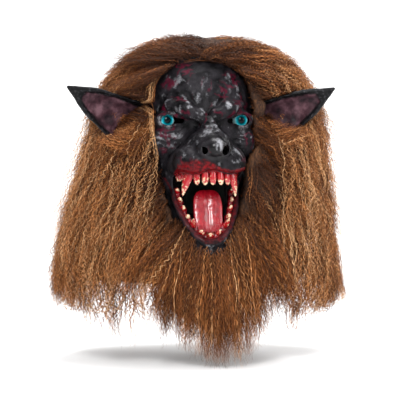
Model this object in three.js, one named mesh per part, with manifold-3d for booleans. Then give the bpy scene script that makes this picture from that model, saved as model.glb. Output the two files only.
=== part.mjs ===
// Werewolf carnival mask: an over-the-head latex face with a dropped lower jaw, hollow ears, plastic eyes,
// rubber teeth and a full mane of synthetic fur on a stretch hood.
//
// Frame, in millimetres: +Z up, the face looks along -Y, and the origin is the point inside the top
// of the mask that rests on the wearer's crown. Left and right are the wearer's own, so left is +X.

import * as THREE from "three";
import { mergeVertices } from "three/addons/utils/BufferGeometryUtils.js";
import Module from "manifold-3d";

const wasm = await Module();
wasm.setup();

// ---------------------------------------------------------------- driving dimensions

const SKIN = 3; // thickness of latex and hood
const GAP = 0.4; // clearance between neighbouring pieces
const FAR = 600; // reach of a cutting block

const SEAM_Y = 18; // where the latex face ends and the hood begins
const NECK = { radii: [72, 74], centreY: 4, top: -150, rim: -300, segments: 36 };

// swellings of the head: centre, radii, segments round and up
const SKULL = { at: [0, -5, -100], r: [86, 108, 103], segments: [36, 22] };
const CHEEKS = { at: [0, -30, -175], r: [74, 85, 75], segments: [28, 16] };
const SNOUT = { at: [0, -112, -150], r: [38, 62, 30], segments: [20, 12] };
const LIP_MIDDLE = { at: [0, -136, -165], r: [24, 34, 26], segments: [16, 10] };
const LIP_PAD = { at: [21, -126, -168], r: [32, 40, 24], segments: [18, 12] };
const LIP_CORNER = { at: [34, -104, -172], r: [21, 25, 20], segments: [14, 8] };
const NOSE_PAD = { at: [0, -164, -148], r: [19, 16, 14], segments: [16, 10] };
const BROW = { at: [38, -96, -91], r: [34, 16, 13], segments: [16, 10] };
const CHEEKBONE = { at: [52, -80, -140], r: [24, 24, 26], segments: [14, 10] };
const NOSTRIL = { at: [9, -180, -151], r: [4.5, 8, 4], segments: [12, 8] };

// mouth opening of the face shell: from the upper lip down to the throat, in front of the jaw's rear edge
const MOUTH = { lip: -178, throat: -250, back: -60 };

const EYE = { at: [53, -86, -109], r: [11, 11, 11], back: 3, segments: [18, 12] };
const EYE_SLIT = { at: [53, -104, -109], r: [10.5, 18, 6.5], segments: [14, 8] };
const PEEPHOLE = { at: [36, -96, -109], r: [5, 3.5], depth: 60, segments: 20 };

const SCREEN = { half: 27, back: -98, thickness: 1.2, top: -172, bottom: -240 };

// upper tooth row: an elliptical arch, with each tooth placed by its angle from the middle
const UPPER_ARCH = { centreY: -104, radii: [39.5, 50.5], z: -184, gumTop: -172, gumBack: -101 };
const LOWER_ARCH = { radii: [41, 107], gumBack: 26 };
const GUM = { out: 6.5, inn: 6, depth: 10, segments: 32 };
const UPPER_ANGLES = { incisor: [-32.5, -15.5, 0, 15.5, 32.5], fang: 49, cheek: [64, 76, 88] };
const LOWER_ANGLES = { incisor: [-17, 0, 17], fang: 33, cheek: [45, 55, 64, 72.5] };

// lower jaw: a boat-shaped bowl hinged at the mouth corners
const JAW = {
  hinge: [0, -72, -185],
  drop: 54, // degrees below level at rest
  radii: [50, 121, 34],
  segments: [32, 20],
  rim: 4, // lip height above the tooth line
  back: 16, // distance of its rear edge from the hinge
};
const CHIN_ROOM = { half: 38, front: -95 }; // space for the wearer's own chin

const TONGUE = { at: [0, -70, 5], r: [22, 29, 7], pitch: 19, segments: [20, 12] };
const TONGUE_ROOT = { at: [0, -76, -8], r: [16, 9, 9], segments: [12, 8] };

// ears: centre of the root, tip, and half outline as half width against distance from the root
const EAR = {
  root: [80, -50, -126],
  tip: [193, -85, -62],
  outline: [[36, 0], [35, 30], [29, 63], [19, 95], [8, 120]],
  blunt: 2, // radius of the tip
  segments: 24,
  buried: 14, // length of root inside the fur and against the skull
  flatness: 0.5, // depth over width
  sweep: 33, // half depth of the space it flexes in
};
const EAR_HOLLOW = { flatness: 0.72, forward: 9, floor: 8, tip: 12 };
const EAR_FLEX = [-12, 0, 12]; // the ear's root clears the skull at these angles

// fur: outer envelopes of crown, mane and beard as centre and radius against height
const FUR_CROWN = { at: [12, 8, -112], r: [178, 138, 127], segments: [36, 20] };
const MANE = {
  profile: [
    [0, -110], [180, -110], [192, -151], [202, -221], [213, -291], [217, -340], [200, -364], [0, -364],
  ],
  centre: [10, 14],
  flatness: 0.68,
  segments: 48,
};
const BEARD = {
  profile: [[0, -297], [46, -297], [112, -345], [106, -372], [56, -412], [14, -450], [0, -454]],
  centre: [0, -118],
  flatness: 0.29,
  segments: 36,
};
const FUR_SPLIT_Z = -50; // crown above, manes and nape below
const NAPE_Y = 62; // nape fur behind, side manes in front
const BEARD_HALF = 48; // the side manes stop this far from the middle, in front of the throat
const SHOULDERS = { top: 86, bottom: 156, from: -285, to: -371, flatness: 0.72 };
// plainer and slightly larger head that the fur lies on
const FUR_SKULL = { at: [0, -5, -100], r: [91, 113, 108], segments: [24, 16] };
const FUR_CHEEKS = { at: [0, -30, -175], r: [80, 91, 81], segments: [20, 12] };
const FUR_NECK = { radius: 79 };
const FUR_ROOM = 2; // room between the fur and what it lies on

// half outline of the bare face, x and z, from the hairline down to below the chin
const FACE_WINDOW = [
  [0, -30], [40, -34], [65, -52], [78, -85], [79, -130], [75, -158], [61, -186],
  [55, -215], [44, -249], [32, -280], [0, -294],
];
const WINDOW_BACK_Y = -20;

// teeth: half profile from root to tip as radius and height, width and depth factors, and lean forward
const INCISOR = { profile: [[3.6, -5], [4.6, 0], [4.9, 7], [3.4, 12], [1.2, 14.5]], depth: 0.72, lean: 0 };
const CHEEK_TOOTH = { profile: [[3.4, -5], [4.3, 0], [4.2, 5], [2.4, 9], [0.8, 10.5]], depth: 0.9, lean: 0 };
const UPPER_FANG = {
  profile: [[5.4, -6], [6.4, 0], [5.8, 9], [4.0, 20], [1.4, 29], [0.5, 31]],
  depth: 0.8,
  lean: 5,
};
const LOWER_FANG = { profile: [[4.6, -6], [5.4, 0], [4.8, 8], [3.0, 17], [0.7, 24]], depth: 0.8, lean: 3 };
const LOWER_INCISOR = {
  profile: [[3.4, -5], [4.3, 0], [4.6, 5], [3.2, 9], [1.2, 11]],
  depth: 0.72,
  lean: 0,
};
const TOOTH_SEGMENTS = 8;

// ---------------------------------------------------------------- materials

const MATERIALS = {
  latex: new THREE.MeshStandardMaterial({ color: 0x26252a, roughness: 0.45, metalness: 0 }),
  gum: new THREE.MeshStandardMaterial({ color: 0x8c1420, roughness: 0.25, metalness: 0 }),
  tongue: new THREE.MeshStandardMaterial({ color: 0xb01a2c, roughness: 0.2, metalness: 0 }),
  tooth: new THREE.MeshStandardMaterial({ color: 0xe4d6bc, roughness: 0.3, metalness: 0 }),
  eye: new THREE.MeshStandardMaterial({ color: 0x2fa6b4, roughness: 0.08, metalness: 0 }),
  fur: new THREE.MeshStandardMaterial({ color: 0x6e4528, roughness: 0.85, metalness: 0 }),
  hood: new THREE.MeshStandardMaterial({ color: 0x1c1815, roughness: 0.9, metalness: 0 }),
  screen: new THREE.MeshStandardMaterial({ color: 0x0a0a0a, roughness: 0.95, metalness: 0 }),
};

// ---------------------------------------------------------------- solids from geometries

function solid(geometry) {
  const bare = geometry.clone();
  for (const name of Object.keys(bare.attributes)) {
    if (name !== "position") bare.deleteAttribute(name);
  }
  const merged = mergeVertices(bare, 1e-4);
  const mesh = new wasm.Mesh({
    numProp: 3,
    vertProperties: new Float32Array(merged.attributes.position.array),
    triVerts: new Uint32Array(merged.index.array),
  });
  return new wasm.Manifold(mesh);
}

function geometryOf(body) {
  const mesh = body.getMesh();
  const geometry = new THREE.BufferGeometry();
  geometry.setAttribute("position", new THREE.BufferAttribute(new Float32Array(mesh.vertProperties), 3));
  geometry.setIndex(new THREE.BufferAttribute(new Uint32Array(mesh.triVerts), 1));
  geometry.computeVertexNormals();
  return geometry;
}

function union(bodies) {
  return bodies.reduce((whole, next) => whole.add(next));
}

function largest(body) {
  return body.decompose().sort((a, b) => b.volume() - a.volume())[0];
}

function moved(body, matrix) {
  return solid(geometryOf(body).applyMatrix4(matrix));
}

function ellipsoid(at, r, segments) {
  const ball = new THREE.SphereGeometry(1, segments[0], segments[1]).rotateX(Math.PI / 2);
  return solid(ball.scale(...r).translate(...at));
}

function block(low, high) {
  const size = high.map((value, axis) => value - low[axis]);
  const middle = high.map((value, axis) => (value + low[axis]) / 2);
  return solid(new THREE.BoxGeometry(...size).translate(...middle));
}

function mirrored(form) {
  return { ...form, at: [-form.at[0], ...form.at.slice(1)] };
}

// an upright elliptical cone or column between two heights
function column(bottom, top, flatness, centre, low, high) {
  const shaft = new THREE.CylinderGeometry(top, bottom, high - low, NECK.segments).rotateX(Math.PI / 2);
  return solid(shaft.scale(1, flatness, 1).translate(centre[0], centre[1], (low + high) / 2));
}

// a turned solid on the Z axis from [radius, z] points, flattened front to back
function turned(profile, segments, flatness = 1, centre = [0, 0]) {
  const rising = profile[0][1] < profile[profile.length - 1][1] ? profile : [...profile].reverse();
  const closed = [[0, rising[0][1]], ...rising, [0, rising[rising.length - 1][1]]];
  const points = closed.map(([radius, z]) => new THREE.Vector2(radius, z));
  const lathe = new THREE.LatheGeometry(points, segments).rotateX(Math.PI / 2);
  return solid(lathe.scale(1, flatness, 1).translate(centre[0], centre[1], 0));
}

// a front-view half outline (x, z) and its mirror image, carried straight back from one Y to another
function frontCut(halfOutline, fromY, toY) {
  const otherHalf = halfOutline.slice(1, -1).reverse().map(([x, z]) => [-x, z]);
  const points = [...halfOutline, ...otherHalf].map(([x, z]) => new THREE.Vector2(x, z));
  const options = { depth: toY - fromY, bevelEnabled: false };
  const prism = new THREE.ExtrudeGeometry(new THREE.Shape(points), options);
  return solid(prism.rotateX(Math.PI / 2).translate(0, toY, 0));
}

// ---------------------------------------------------------------- head form

function swelling(form, inset) {
  return ellipsoid(form.at, form.r.map((radius) => radius - inset), form.segments);
}

function neckColumn(inset, low) {
  const [side, front] = NECK.radii.map((radius) => radius - inset);
  return column(side, side, front / side, [0, NECK.centreY], low, NECK.top);
}

// the plain head: skull, cheeks and neck
function headCore(inset) {
  const low = inset > 0 ? NECK.rim - SKIN : NECK.rim;
  return union([swelling(SKULL, inset), swelling(CHEEKS, inset), neckColumn(inset, low)]);
}

// the snout and the lips, which are hollow too
function snoutForm(inset) {
  const pairs = [LIP_PAD, LIP_CORNER].flatMap((form) => [form, mirrored(form)]);
  return union([SNOUT, LIP_MIDDLE, ...pairs].map((form) => swelling(form, inset)));
}

// brows, cheekbones and nose, moulded solid on the skin
function solidFeatures(inset) {
  const pairs = [BROW, CHEEKBONE].flatMap((form) => [form, mirrored(form)]);
  return union([NOSE_PAD, ...pairs].map((form) => swelling(form, inset)));
}

function headForm(inset) {
  return union([headCore(inset), snoutForm(inset), solidFeatures(inset)]);
}

// ---------------------------------------------------------------- lower jaw frame

// The jaw's own frame has its origin on the hinge line, -Y forward along the tooth row
// and +Z out of the mouth's floor.
function jawMatrix() {
  const turn = new THREE.Matrix4().makeRotationX(THREE.MathUtils.degToRad(JAW.drop));
  return turn.setPosition(...JAW.hinge);
}

function jawBowl(inset) {
  return ellipsoid([0, 0, 0], JAW.radii.map((radius) => radius - inset), JAW.segments);
}

// the wearer's chin, in the jaw's frame
function chinRoom() {
  const room = block([-CHIN_ROOM.half, CHIN_ROOM.front, -FAR], [CHIN_ROOM.half, FAR, FAR]);
  return moved(room, jawMatrix().invert());
}

// ---------------------------------------------------------------- face shell, hood and screen

function eyeCuts() {
  const cuts = [];
  for (const side of [-1, 1]) {
    const [x, y, z] = PEEPHOLE.at;
    const hole = new THREE.CylinderGeometry(1, 1, PEEPHOLE.depth, PEEPHOLE.segments);
    hole.scale(PEEPHOLE.r[0], 1, PEEPHOLE.r[1]);
    cuts.push(swelling(side > 0 ? EYE : mirrored(EYE), -GAP));
    cuts.push(swelling(side > 0 ? EYE_SLIT : mirrored(EYE_SLIT), 0));
    cuts.push(solid(hole.translate(side * x, y, z)));
  }
  return union(cuts);
}

function faceShell(shell) {
  const front = block([-FAR, -FAR, -FAR], [FAR, SEAM_Y - GAP / 2, FAR]);
  const mouth = block([-FAR, -FAR, MOUTH.throat], [FAR, MOUTH.back, MOUTH.lip]);
  const nostrils = union([NOSTRIL, mirrored(NOSTRIL)].map((form) => swelling(form, 0)));
  return shell.intersect(front).subtract(union([mouth, eyeCuts(), nostrils]));
}

function wigCap(shell) {
  return shell.intersect(block([-FAR, SEAM_Y + GAP / 2, -FAR], [FAR, FAR, FAR]));
}

function mouthScreen() {
  const { half, back, thickness, top, bottom } = SCREEN;
  return block([-half, back - thickness, bottom], [half, back, top]);
}

// one domed plastic eye, cut flat behind the lids
function eyeDome(side) {
  const form = side > 0 ? EYE : mirrored(EYE);
  const front = block([-FAR, -FAR, -FAR], [FAR, EYE.at[1] + EYE.back, FAR]);
  return swelling(form, 0).intersect(front);
}

// ---------------------------------------------------------------- teeth and gums

// a peg with its root below z = 0, leaning forward towards its tip
function toothPeg(kind, fit = 0) {
  const profile = kind.profile.map(([radius, z]) => [radius + fit, z]);
  profile[0][1] -= fit;
  const peg = geometryOf(turned(profile, TOOTH_SEGMENTS, kind.depth));
  const tipZ = kind.profile[kind.profile.length - 1][1];
  const position = peg.attributes.position;
  for (let i = 0; i < position.count; i += 1) {
    const rise = Math.max(0, position.getZ(i) / tipZ);
    position.setY(i, position.getY(i) - kind.lean * Math.sin((rise * Math.PI) / 2));
  }
  return peg;
}

// where a tooth stands on an arch, turned to face along the arch's outline
function onArch(angle, radii, centreY, z, pointsDown) {
  const turn = THREE.MathUtils.degToRad(angle);
  const x = radii[0] * Math.sin(turn);
  const y = centreY - radii[1] * Math.cos(turn);
  const facing = Math.atan2(x / radii[0] ** 2, (centreY - y) / radii[1] ** 2);
  const spin = new THREE.Matrix4().makeRotationZ(facing);
  const flip = new THREE.Matrix4();
  if (pointsDown) flip.makeRotationY(Math.PI);
  return new THREE.Matrix4().makeTranslation(x, y, z).multiply(spin).multiply(flip);
}

function numbered(name, angles) {
  return angles.map((angle, i) => ({ name: `${name}_${i + 1}`, angle }));
}

function sided(name, angles) {
  const sides = [["right", -1], ["left", 1]];
  return sides.flatMap(([side, sign]) => {
    const turned = angles.map((angle) => sign * angle);
    return turned.length > 1
      ? numbered(`${name}_${side}`, turned)
      : [{ name: `${name}_${side}`, angle: turned[0] }];
  });
}

function toothRow(row, angles, kinds, place) {
  const incisors = numbered(`incisor_${row}`, angles.incisor)
    .map((tooth) => ({ ...tooth, kind: kinds.incisor }));
  const fangs = sided(`fang_${row}`, [angles.fang]).map((tooth) => ({ ...tooth, kind: kinds.fang }));
  const cheeks = sided(`molar_${row}`, angles.cheek).map((tooth) => ({ ...tooth, kind: kinds.cheek }));
  return [...incisors, ...fangs, ...cheeks].map((tooth) => ({ ...tooth, matrix: place(tooth.angle) }));
}

const UPPER_KINDS = { incisor: INCISOR, fang: UPPER_FANG, cheek: CHEEK_TOOTH };
const LOWER_KINDS = { incisor: LOWER_INCISOR, fang: LOWER_FANG, cheek: CHEEK_TOOTH };
const upperTeeth = toothRow("upper", UPPER_ANGLES, UPPER_KINDS,
  (angle) => onArch(angle, UPPER_ARCH.radii, UPPER_ARCH.centreY, UPPER_ARCH.z, true));
const lowerTeeth = toothRow("lower", LOWER_ANGLES, LOWER_KINDS,
  (angle) => onArch(angle, LOWER_ARCH.radii, 0, 0, false));

function sockets(teeth) {
  return union(teeth.map(({ kind, matrix }) => solid(toothPeg(kind, GAP).applyMatrix4(matrix))));
}

// an elliptical band under a tooth row
function archBand(radii, centreY, low, high) {
  const oval = (offset, extra) => {
    const [side, front] = radii.map((radius) => radius + offset);
    return column(side, side, front / side, [0, centreY], low - extra, high + extra);
  };
  return oval(GUM.out, 0).subtract(oval(-GUM.inn, SKIN));
}

function upperGum() {
  const { radii, centreY, z, gumTop, gumBack } = UPPER_ARCH;
  const front = block([-FAR, -FAR, -FAR], [FAR, gumBack, FAR]);
  const band = archBand(radii, centreY, z, gumTop).intersect(front);
  return largest(band.subtract(skinRoom()).subtract(sockets(upperTeeth)));
}

// the lip skin with clearance on both sides
function skinRoom() {
  const outside = union([headCore(-GAP), snoutForm(-GAP)]);
  return outside.subtract(union([headCore(SKIN + GAP), snoutForm(SKIN + GAP)]));
}

function lowerGum() {
  const front = block([-FAR, -FAR, -FAR], [FAR, -LOWER_ARCH.gumBack, FAR]);
  const band = archBand(LOWER_ARCH.radii, 0, -GUM.depth, 0).intersect(front);
  return band.intersect(jawBowl(SKIN + GAP)).subtract(sockets(lowerTeeth));
}

// ---------------------------------------------------------------- jaw shell and tongue, in the jaw's frame

function jawShell() {
  const reach = block([-FAR, -FAR, -FAR], [FAR, -JAW.back, JAW.rim]);
  return jawBowl(0).subtract(jawBowl(SKIN)).intersect(reach).subtract(chinRoom());
}

function tongueSolid() {
  const pitch = new THREE.Matrix4().makeRotationX(THREE.MathUtils.degToRad(TONGUE.pitch));
  const blade = moved(ellipsoid([0, 0, 0], TONGUE.r, TONGUE.segments), pitch.setPosition(...TONGUE.at));
  return blade.add(swelling(TONGUE_ROOT, 0));
}

// ---------------------------------------------------------------- ears

// an ear's frame: origin at its root, +Z to the tip, -Y where the ear opens, X across the root
function earMatrix(side) {
  const root = new THREE.Vector3(side * EAR.root[0], EAR.root[1], EAR.root[2]);
  const tip = new THREE.Vector3(side * EAR.tip[0], EAR.tip[1], EAR.tip[2]);
  const along = tip.sub(root).normalize();
  const behind = new THREE.Vector3(0, 1, 0).addScaledVector(along, -along.y).normalize();
  const across = new THREE.Vector3().crossVectors(behind, along);
  return new THREE.Matrix4().makeBasis(across, behind, along).setPosition(root);
}

function earLength() {
  return new THREE.Vector3(...EAR.tip).distanceTo(new THREE.Vector3(...EAR.root));
}

function earLeaf() {
  const profile = [[EAR.outline[0][0], -EAR.buried], ...EAR.outline, [EAR.blunt, earLength()]];
  return turned(profile, EAR.segments, EAR.flatness);
}

function earHollow() {
  const outline = EAR.outline.map(([half, z]) => [half - SKIN, z]);
  const end = [EAR.blunt, earLength() - EAR_HOLLOW.tip];
  const profile = [[outline[0][0], EAR_HOLLOW.floor], ...outline.slice(1), end];
  return turned(profile, EAR.segments, EAR_HOLLOW.flatness, [0, -EAR_HOLLOW.forward]);
}

function earShell(side, skull) {
  const still = moved(skull, earMatrix(side).invert());
  const room = EAR_FLEX.map((angle) => {
    return moved(still, new THREE.Matrix4().makeRotationX(THREE.MathUtils.degToRad(angle)));
  });
  return largest(earLeaf().subtract(earHollow()).subtract(union(room)));
}

// the slot in the fur that an ear flexes in
function earSlot(side) {
  const edge = EAR.outline.map(([half, z]) => [half + 2 * FUR_ROOM, z]);
  const end = [0, earLength() + 3 * FUR_ROOM];
  const outline = [[0, -2 * EAR.buried], [edge[0][0], -EAR.buried], ...edge, end];
  return moved(frontCut(outline.reverse(), -EAR.sweep, EAR.sweep), earMatrix(side));
}

// ---------------------------------------------------------------- fur

function furEnvelope() {
  const mane = turned(MANE.profile, MANE.segments, MANE.flatness, MANE.centre);
  const crown = ellipsoid(FUR_CROWN.at, FUR_CROWN.r, FUR_CROWN.segments);
  return mane.add(crown.intersect(block([-FAR, -FAR, -200], [FAR, FAR, FAR])));
}

// everything that the fur has to leave free: head, shoulders, face, moving jaw and ears
function furRoom() {
  const { top, bottom, from, to, flatness } = SHOULDERS;
  const head = [FUR_SKULL, FUR_CHEEKS].map((form) => swelling(form, 0));
  const throat = column(FUR_NECK.radius, FUR_NECK.radius, 1, [0, NECK.centreY], -FAR, NECK.top);
  const cone = column(bottom, top, flatness, [0, NECK.centreY], to, from);
  const window = frontCut(FACE_WINDOW, -FAR, WINDOW_BACK_Y);
  return union([...head, throat, cone, window, earSlot(-1), earSlot(1)]);
}

function furPieces() {
  const room = furRoom();
  const beardForm = (grow) => {
    const profile = BEARD.profile.map(([r, z]) => [r + (r ? grow : 0), z]);
    return turned(profile, BEARD.segments, BEARD.flatness, BEARD.centre);
  };
  const fur = furEnvelope().subtract(room);
  const half = GAP / 2;
  const below = block([-FAR, -FAR, -FAR], [FAR, FAR, FUR_SPLIT_Z - half]);
  const middle = block([-BEARD_HALF, -FAR, -FAR], [BEARD_HALF, MOUTH.back, FUR_SPLIT_Z]);
  const sides = fur.intersect(below).subtract(middle).subtract(beardForm(1))
    .intersect(block([-FAR, -FAR, -FAR], [FAR, NAPE_Y - half, FAR]));
  return {
    crown_fur: fur.intersect(block([-FAR, -FAR, FUR_SPLIT_Z + half], [FAR, FAR, FAR])),
    mane_right: sides.intersect(block([-FAR, -FAR, -FAR], [-half, FAR, FAR])),
    mane_left: sides.intersect(block([half, -FAR, -FAR], [FAR, FAR, FAR])),
    nape_fur: fur.intersect(below).intersect(block([-FAR, NAPE_Y + half, -FAR], [FAR, FAR, FAR])),
    beard_fur: beardForm(0).subtract(room),
  };
}

// ---------------------------------------------------------------- assembly

function piece(name, body, material) {
  const geometry = body.isBufferGeometry ? body : geometryOf(body);
  const mesh = new THREE.Mesh(geometry, MATERIALS[material]);
  mesh.name = name;
  return mesh;
}

function placed(mesh, matrix) {
  matrix.decompose(mesh.position, mesh.quaternion, mesh.scale);
  return mesh;
}

const mask = new THREE.Group();
const hollow = union([headCore(SKIN), snoutForm(SKIN)]);
const shell = headForm(0).subtract(hollow);

mask.add(piece("face_shell", faceShell(shell), "latex"));
mask.add(piece("wig_cap", wigCap(shell), "hood"));
mask.add(piece("mouth_screen", mouthScreen(), "screen"));
mask.add(piece("upper_gum", upperGum(), "gum"));
mask.add(piece("eye_right", eyeDome(-1), "eye"));
mask.add(piece("eye_left", eyeDome(1), "eye"));
for (const { name, kind, matrix } of upperTeeth) {
  mask.add(placed(piece(name, toothPeg(kind), "tooth"), matrix));
}

const jaw = new THREE.Group();
placed(jaw, jawMatrix());
jaw.add(piece("jaw_shell", jawShell(), "latex"));
jaw.add(piece("lower_gum", lowerGum(), "gum"));
jaw.add(piece("tongue", tongueSolid(), "tongue"));
for (const { name, kind, matrix } of lowerTeeth) {
  jaw.add(placed(piece(name, toothPeg(kind), "tooth"), matrix));
}
mask.add(jaw);

const skull = headForm(-GAP);
for (const [name, side] of [["ear_right", -1], ["ear_left", 1]]) {
  mask.add(placed(piece(name, earShell(side, skull), "latex"), earMatrix(side)));
}

for (const [name, body] of Object.entries(furPieces())) {
  mask.add(piece(name, body, "fur"));
}

export default mask;
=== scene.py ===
"""Looks of the werewolf carnival mask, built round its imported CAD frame."""

import math

import bpy
import numpy as np
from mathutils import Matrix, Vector


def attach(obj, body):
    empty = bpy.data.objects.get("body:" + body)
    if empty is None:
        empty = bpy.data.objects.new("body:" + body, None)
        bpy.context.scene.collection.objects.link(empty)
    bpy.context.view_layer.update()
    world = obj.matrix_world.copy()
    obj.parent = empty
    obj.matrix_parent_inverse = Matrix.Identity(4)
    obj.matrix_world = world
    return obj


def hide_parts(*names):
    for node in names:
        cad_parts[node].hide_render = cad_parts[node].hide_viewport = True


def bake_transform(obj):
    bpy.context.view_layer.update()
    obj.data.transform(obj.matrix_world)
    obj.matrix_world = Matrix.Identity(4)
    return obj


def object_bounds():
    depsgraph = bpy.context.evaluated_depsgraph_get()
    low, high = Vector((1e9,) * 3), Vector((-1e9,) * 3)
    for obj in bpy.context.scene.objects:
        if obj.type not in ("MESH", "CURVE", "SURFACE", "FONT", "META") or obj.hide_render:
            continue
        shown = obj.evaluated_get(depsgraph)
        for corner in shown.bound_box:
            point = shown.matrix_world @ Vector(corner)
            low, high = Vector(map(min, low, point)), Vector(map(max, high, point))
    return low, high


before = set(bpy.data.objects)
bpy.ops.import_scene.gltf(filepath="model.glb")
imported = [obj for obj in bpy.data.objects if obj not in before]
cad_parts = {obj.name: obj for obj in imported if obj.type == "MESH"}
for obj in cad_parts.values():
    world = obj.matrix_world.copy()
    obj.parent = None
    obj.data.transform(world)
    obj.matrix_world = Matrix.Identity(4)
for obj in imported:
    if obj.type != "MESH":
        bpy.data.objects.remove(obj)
CAD_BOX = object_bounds()

MM = 0.001
RNG = np.random.default_rng(11)

# ------------------------------------------------------------------ driving dimensions, in millimetres

SKIN = 3.0
NECK_RIM_Z = -300.0
SEAM_Y = 18.0
NECK_SPLIT_Z, NECK_SPLIT_Y = -200.0, -56.0
NOSE = np.array([0.0, -166.0, -148.0])
NOSE_LEATHER = (21, 24, 19)
MOUTH_BACK_Y = -60.0
JAW_HINGE = np.array([0.0, -72.0, -185.0])
JAW_DROP = math.radians(54)
JAW_RADII = (50.0, 121.0, 34.0)
JAW_RIM = 4.0
LIP_Z = -178.0
EYE = np.array([53.0, -86.0, -109.0])
EYE_R = 11.0
EAR_ROOT = np.array([80.0, -50.0, -126.0])
EAR_TIP = np.array([193.0, -85.0, -62.0])
EAR_OUTLINE = ((-14, 36), (0, 36), (30, 35), (63, 29), (95, 19), (120, 8), (134.5, 1.5))

# fur envelope: height, half width, half depth and middle of the width
ENVELOPE = ((13, 3, 3, 18), (10, 48, 36, 20), (2, 84, 62, 22), (-12, 112, 84, 24), (-30, 134, 101, 24),
            (-55, 154, 113, 24), (-80, 165, 120, 25), (-123, 173, 127, 26), (-176, 181, 132, 21),
            (-221, 188, 137, 16), (-252, 192, 140, 11), (-291, 191, 142, 7), (-347, 188, 142, 5),
            (-366, 183, 138, 5))
ENVELOPE_Y = 13.0

# half width of the bare face against height
FACE_WINDOW = ((-302, 2), (-296, 16), (-282, 30), (-249, 41), (-221, 50), (-186, 57), (-150, 65),
               (-120, 69), (-85, 70), (-60, 66), (-43, 55), (-32, 37), (-26, 18), (-24, 2))


def at(table, z):
    """Linear reading of a (height, value, ...) table, highest or lowest row first."""
    rows = np.array(sorted(table), float)
    return [np.interp(z, rows[:, 0], rows[:, k]) for k in range(1, rows.shape[1])]


# ------------------------------------------------------------------ noise

LATTICE = np.random.default_rng(5).random((32, 32, 32)).astype(np.float32)


def noise(p, size, shift=0.0):
    """Smooth value noise from 0 to 1 with features of about the given size."""
    q = p / size + shift
    cell = np.floor(q).astype(np.int64)
    f = (q - cell).astype(np.float32)
    f = f * f * (3 - 2 * f)
    out = 0.0
    for i in (0, 1):
        for j in (0, 1):
            for k in (0, 1):
                w = (f[..., 0] if i else 1 - f[..., 0]) * (f[..., 1] if j else 1 - f[..., 1])
                w = w * (f[..., 2] if k else 1 - f[..., 2])
                out = out + w * LATTICE[tuple((cell[..., m] + s) % 32 for m, s in enumerate((i, j, k)))]
    return out


def fbm(p, size, octaves=3, shift=0.0):
    total, weight, norm = 0.0, 1.0, 0.0
    for n in range(octaves):
        total = total + weight * noise(p, size / 2 ** n, shift + 7.3 * n)
        norm += weight
        weight *= 0.5
    return total / norm


# ------------------------------------------------------------------ distance fields, in millimetres

def ball(p, centre, r):
    """Distance to an ellipsoid, good near its surface."""
    q = (p - np.asarray(centre, np.float32)) / np.asarray(r, np.float32)
    k0 = np.sqrt((q ** 2).sum(-1)) + 1e-6
    k1 = np.sqrt(((q / np.asarray(r, np.float32)) ** 2).sum(-1)) + 1e-9
    return k0 * (k0 - 1) / k1


def rod(p, a, b, ra, rb):
    """Distance to a round cone between two points."""
    a, b = np.asarray(a, np.float32), np.asarray(b, np.float32)
    d = b - a
    t = np.clip(((p - a) @ d) / (d @ d), 0, 1)
    return np.linalg.norm(p - a - t[..., None] * d, axis=-1) - (ra + (rb - ra) * t)


def join(a, b, k):
    h = np.clip(0.5 + 0.5 * (b - a) / k, 0, 1)
    return b + (a - b) * h - k * h * (1 - h)


def carve(a, b, k):
    return -join(-a, b, k)


def both_sides(p):
    """Points folded to the +X side, for a form that stands on both sides."""
    q = p.copy()
    q[..., 0] = np.abs(q[..., 0])
    return q


def surface(field, low, high, step):
    """Surface nets: the zero surface of a field as vertices and quads, facing out of the negative side."""
    axes = [np.arange(lo, hi + step, step, dtype=np.float32) for lo, hi in zip(low, high)]
    grid = np.stack(np.meshgrid(*axes, indexing="ij"), -1)
    v = field(grid).astype(np.float32)
    inside = v < 0
    n = np.array(v.shape)
    count = np.zeros(n - 1, np.int8)
    corners = [(i, j, k) for i in (0, 1) for j in (0, 1) for k in (0, 1)]
    for i, j, k in corners:
        count += inside[i:n[0] - 1 + i, j:n[1] - 1 + j, k:n[2] - 1 + k]
    active = (count > 0) & (count < 8)
    cells = np.argwhere(active)
    ids = np.full(active.shape, -1, np.int64)
    ids[active] = np.arange(len(cells))
    total = np.zeros((len(cells), 3), np.float64)
    hits = np.zeros(len(cells))
    for a in corners:
        for axis in range(3):
            if a[axis]:
                continue
            b = tuple(a[m] + (m == axis) for m in range(3))
            va = v[tuple((cells + a).T)]
            vb = v[tuple((cells + b).T)]
            cross = (va < 0) != (vb < 0)
            t = np.where(cross, va / np.where(cross, va - vb, 1), 0)
            point = np.array(a, float) + t[:, None] * (np.array(b) - np.array(a))
            total += np.where(cross[:, None], point, 0)
            hits += cross
    verts = np.array(low) + (cells + total / hits[:, None]) * step
    quads = []
    for axis in range(3):
        u, w = (axis + 1) % 3, (axis + 2) % 3
        first = [slice(1, n[m] - 1) for m in range(3)]
        first[axis] = slice(0, n[axis] - 1)
        second = list(first)
        second[axis] = slice(1, n[axis])
        a, b = inside[tuple(first)], inside[tuple(second)]
        base = np.argwhere(a != b) + [s.start for s in first]
        leaving = inside[tuple(base.T)]
        du, dw = np.eye(3, dtype=int)[u], np.eye(3, dtype=int)[w]
        ring = [ids[tuple((base - s).T)] for s in (du * 0, du, du + dw, dw)]
        quad = np.stack(ring, 1)
        quad[~leaving] = quad[~leaving][:, ::-1]
        quads.append(quad)
    return verts, np.concatenate(quads)


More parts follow.
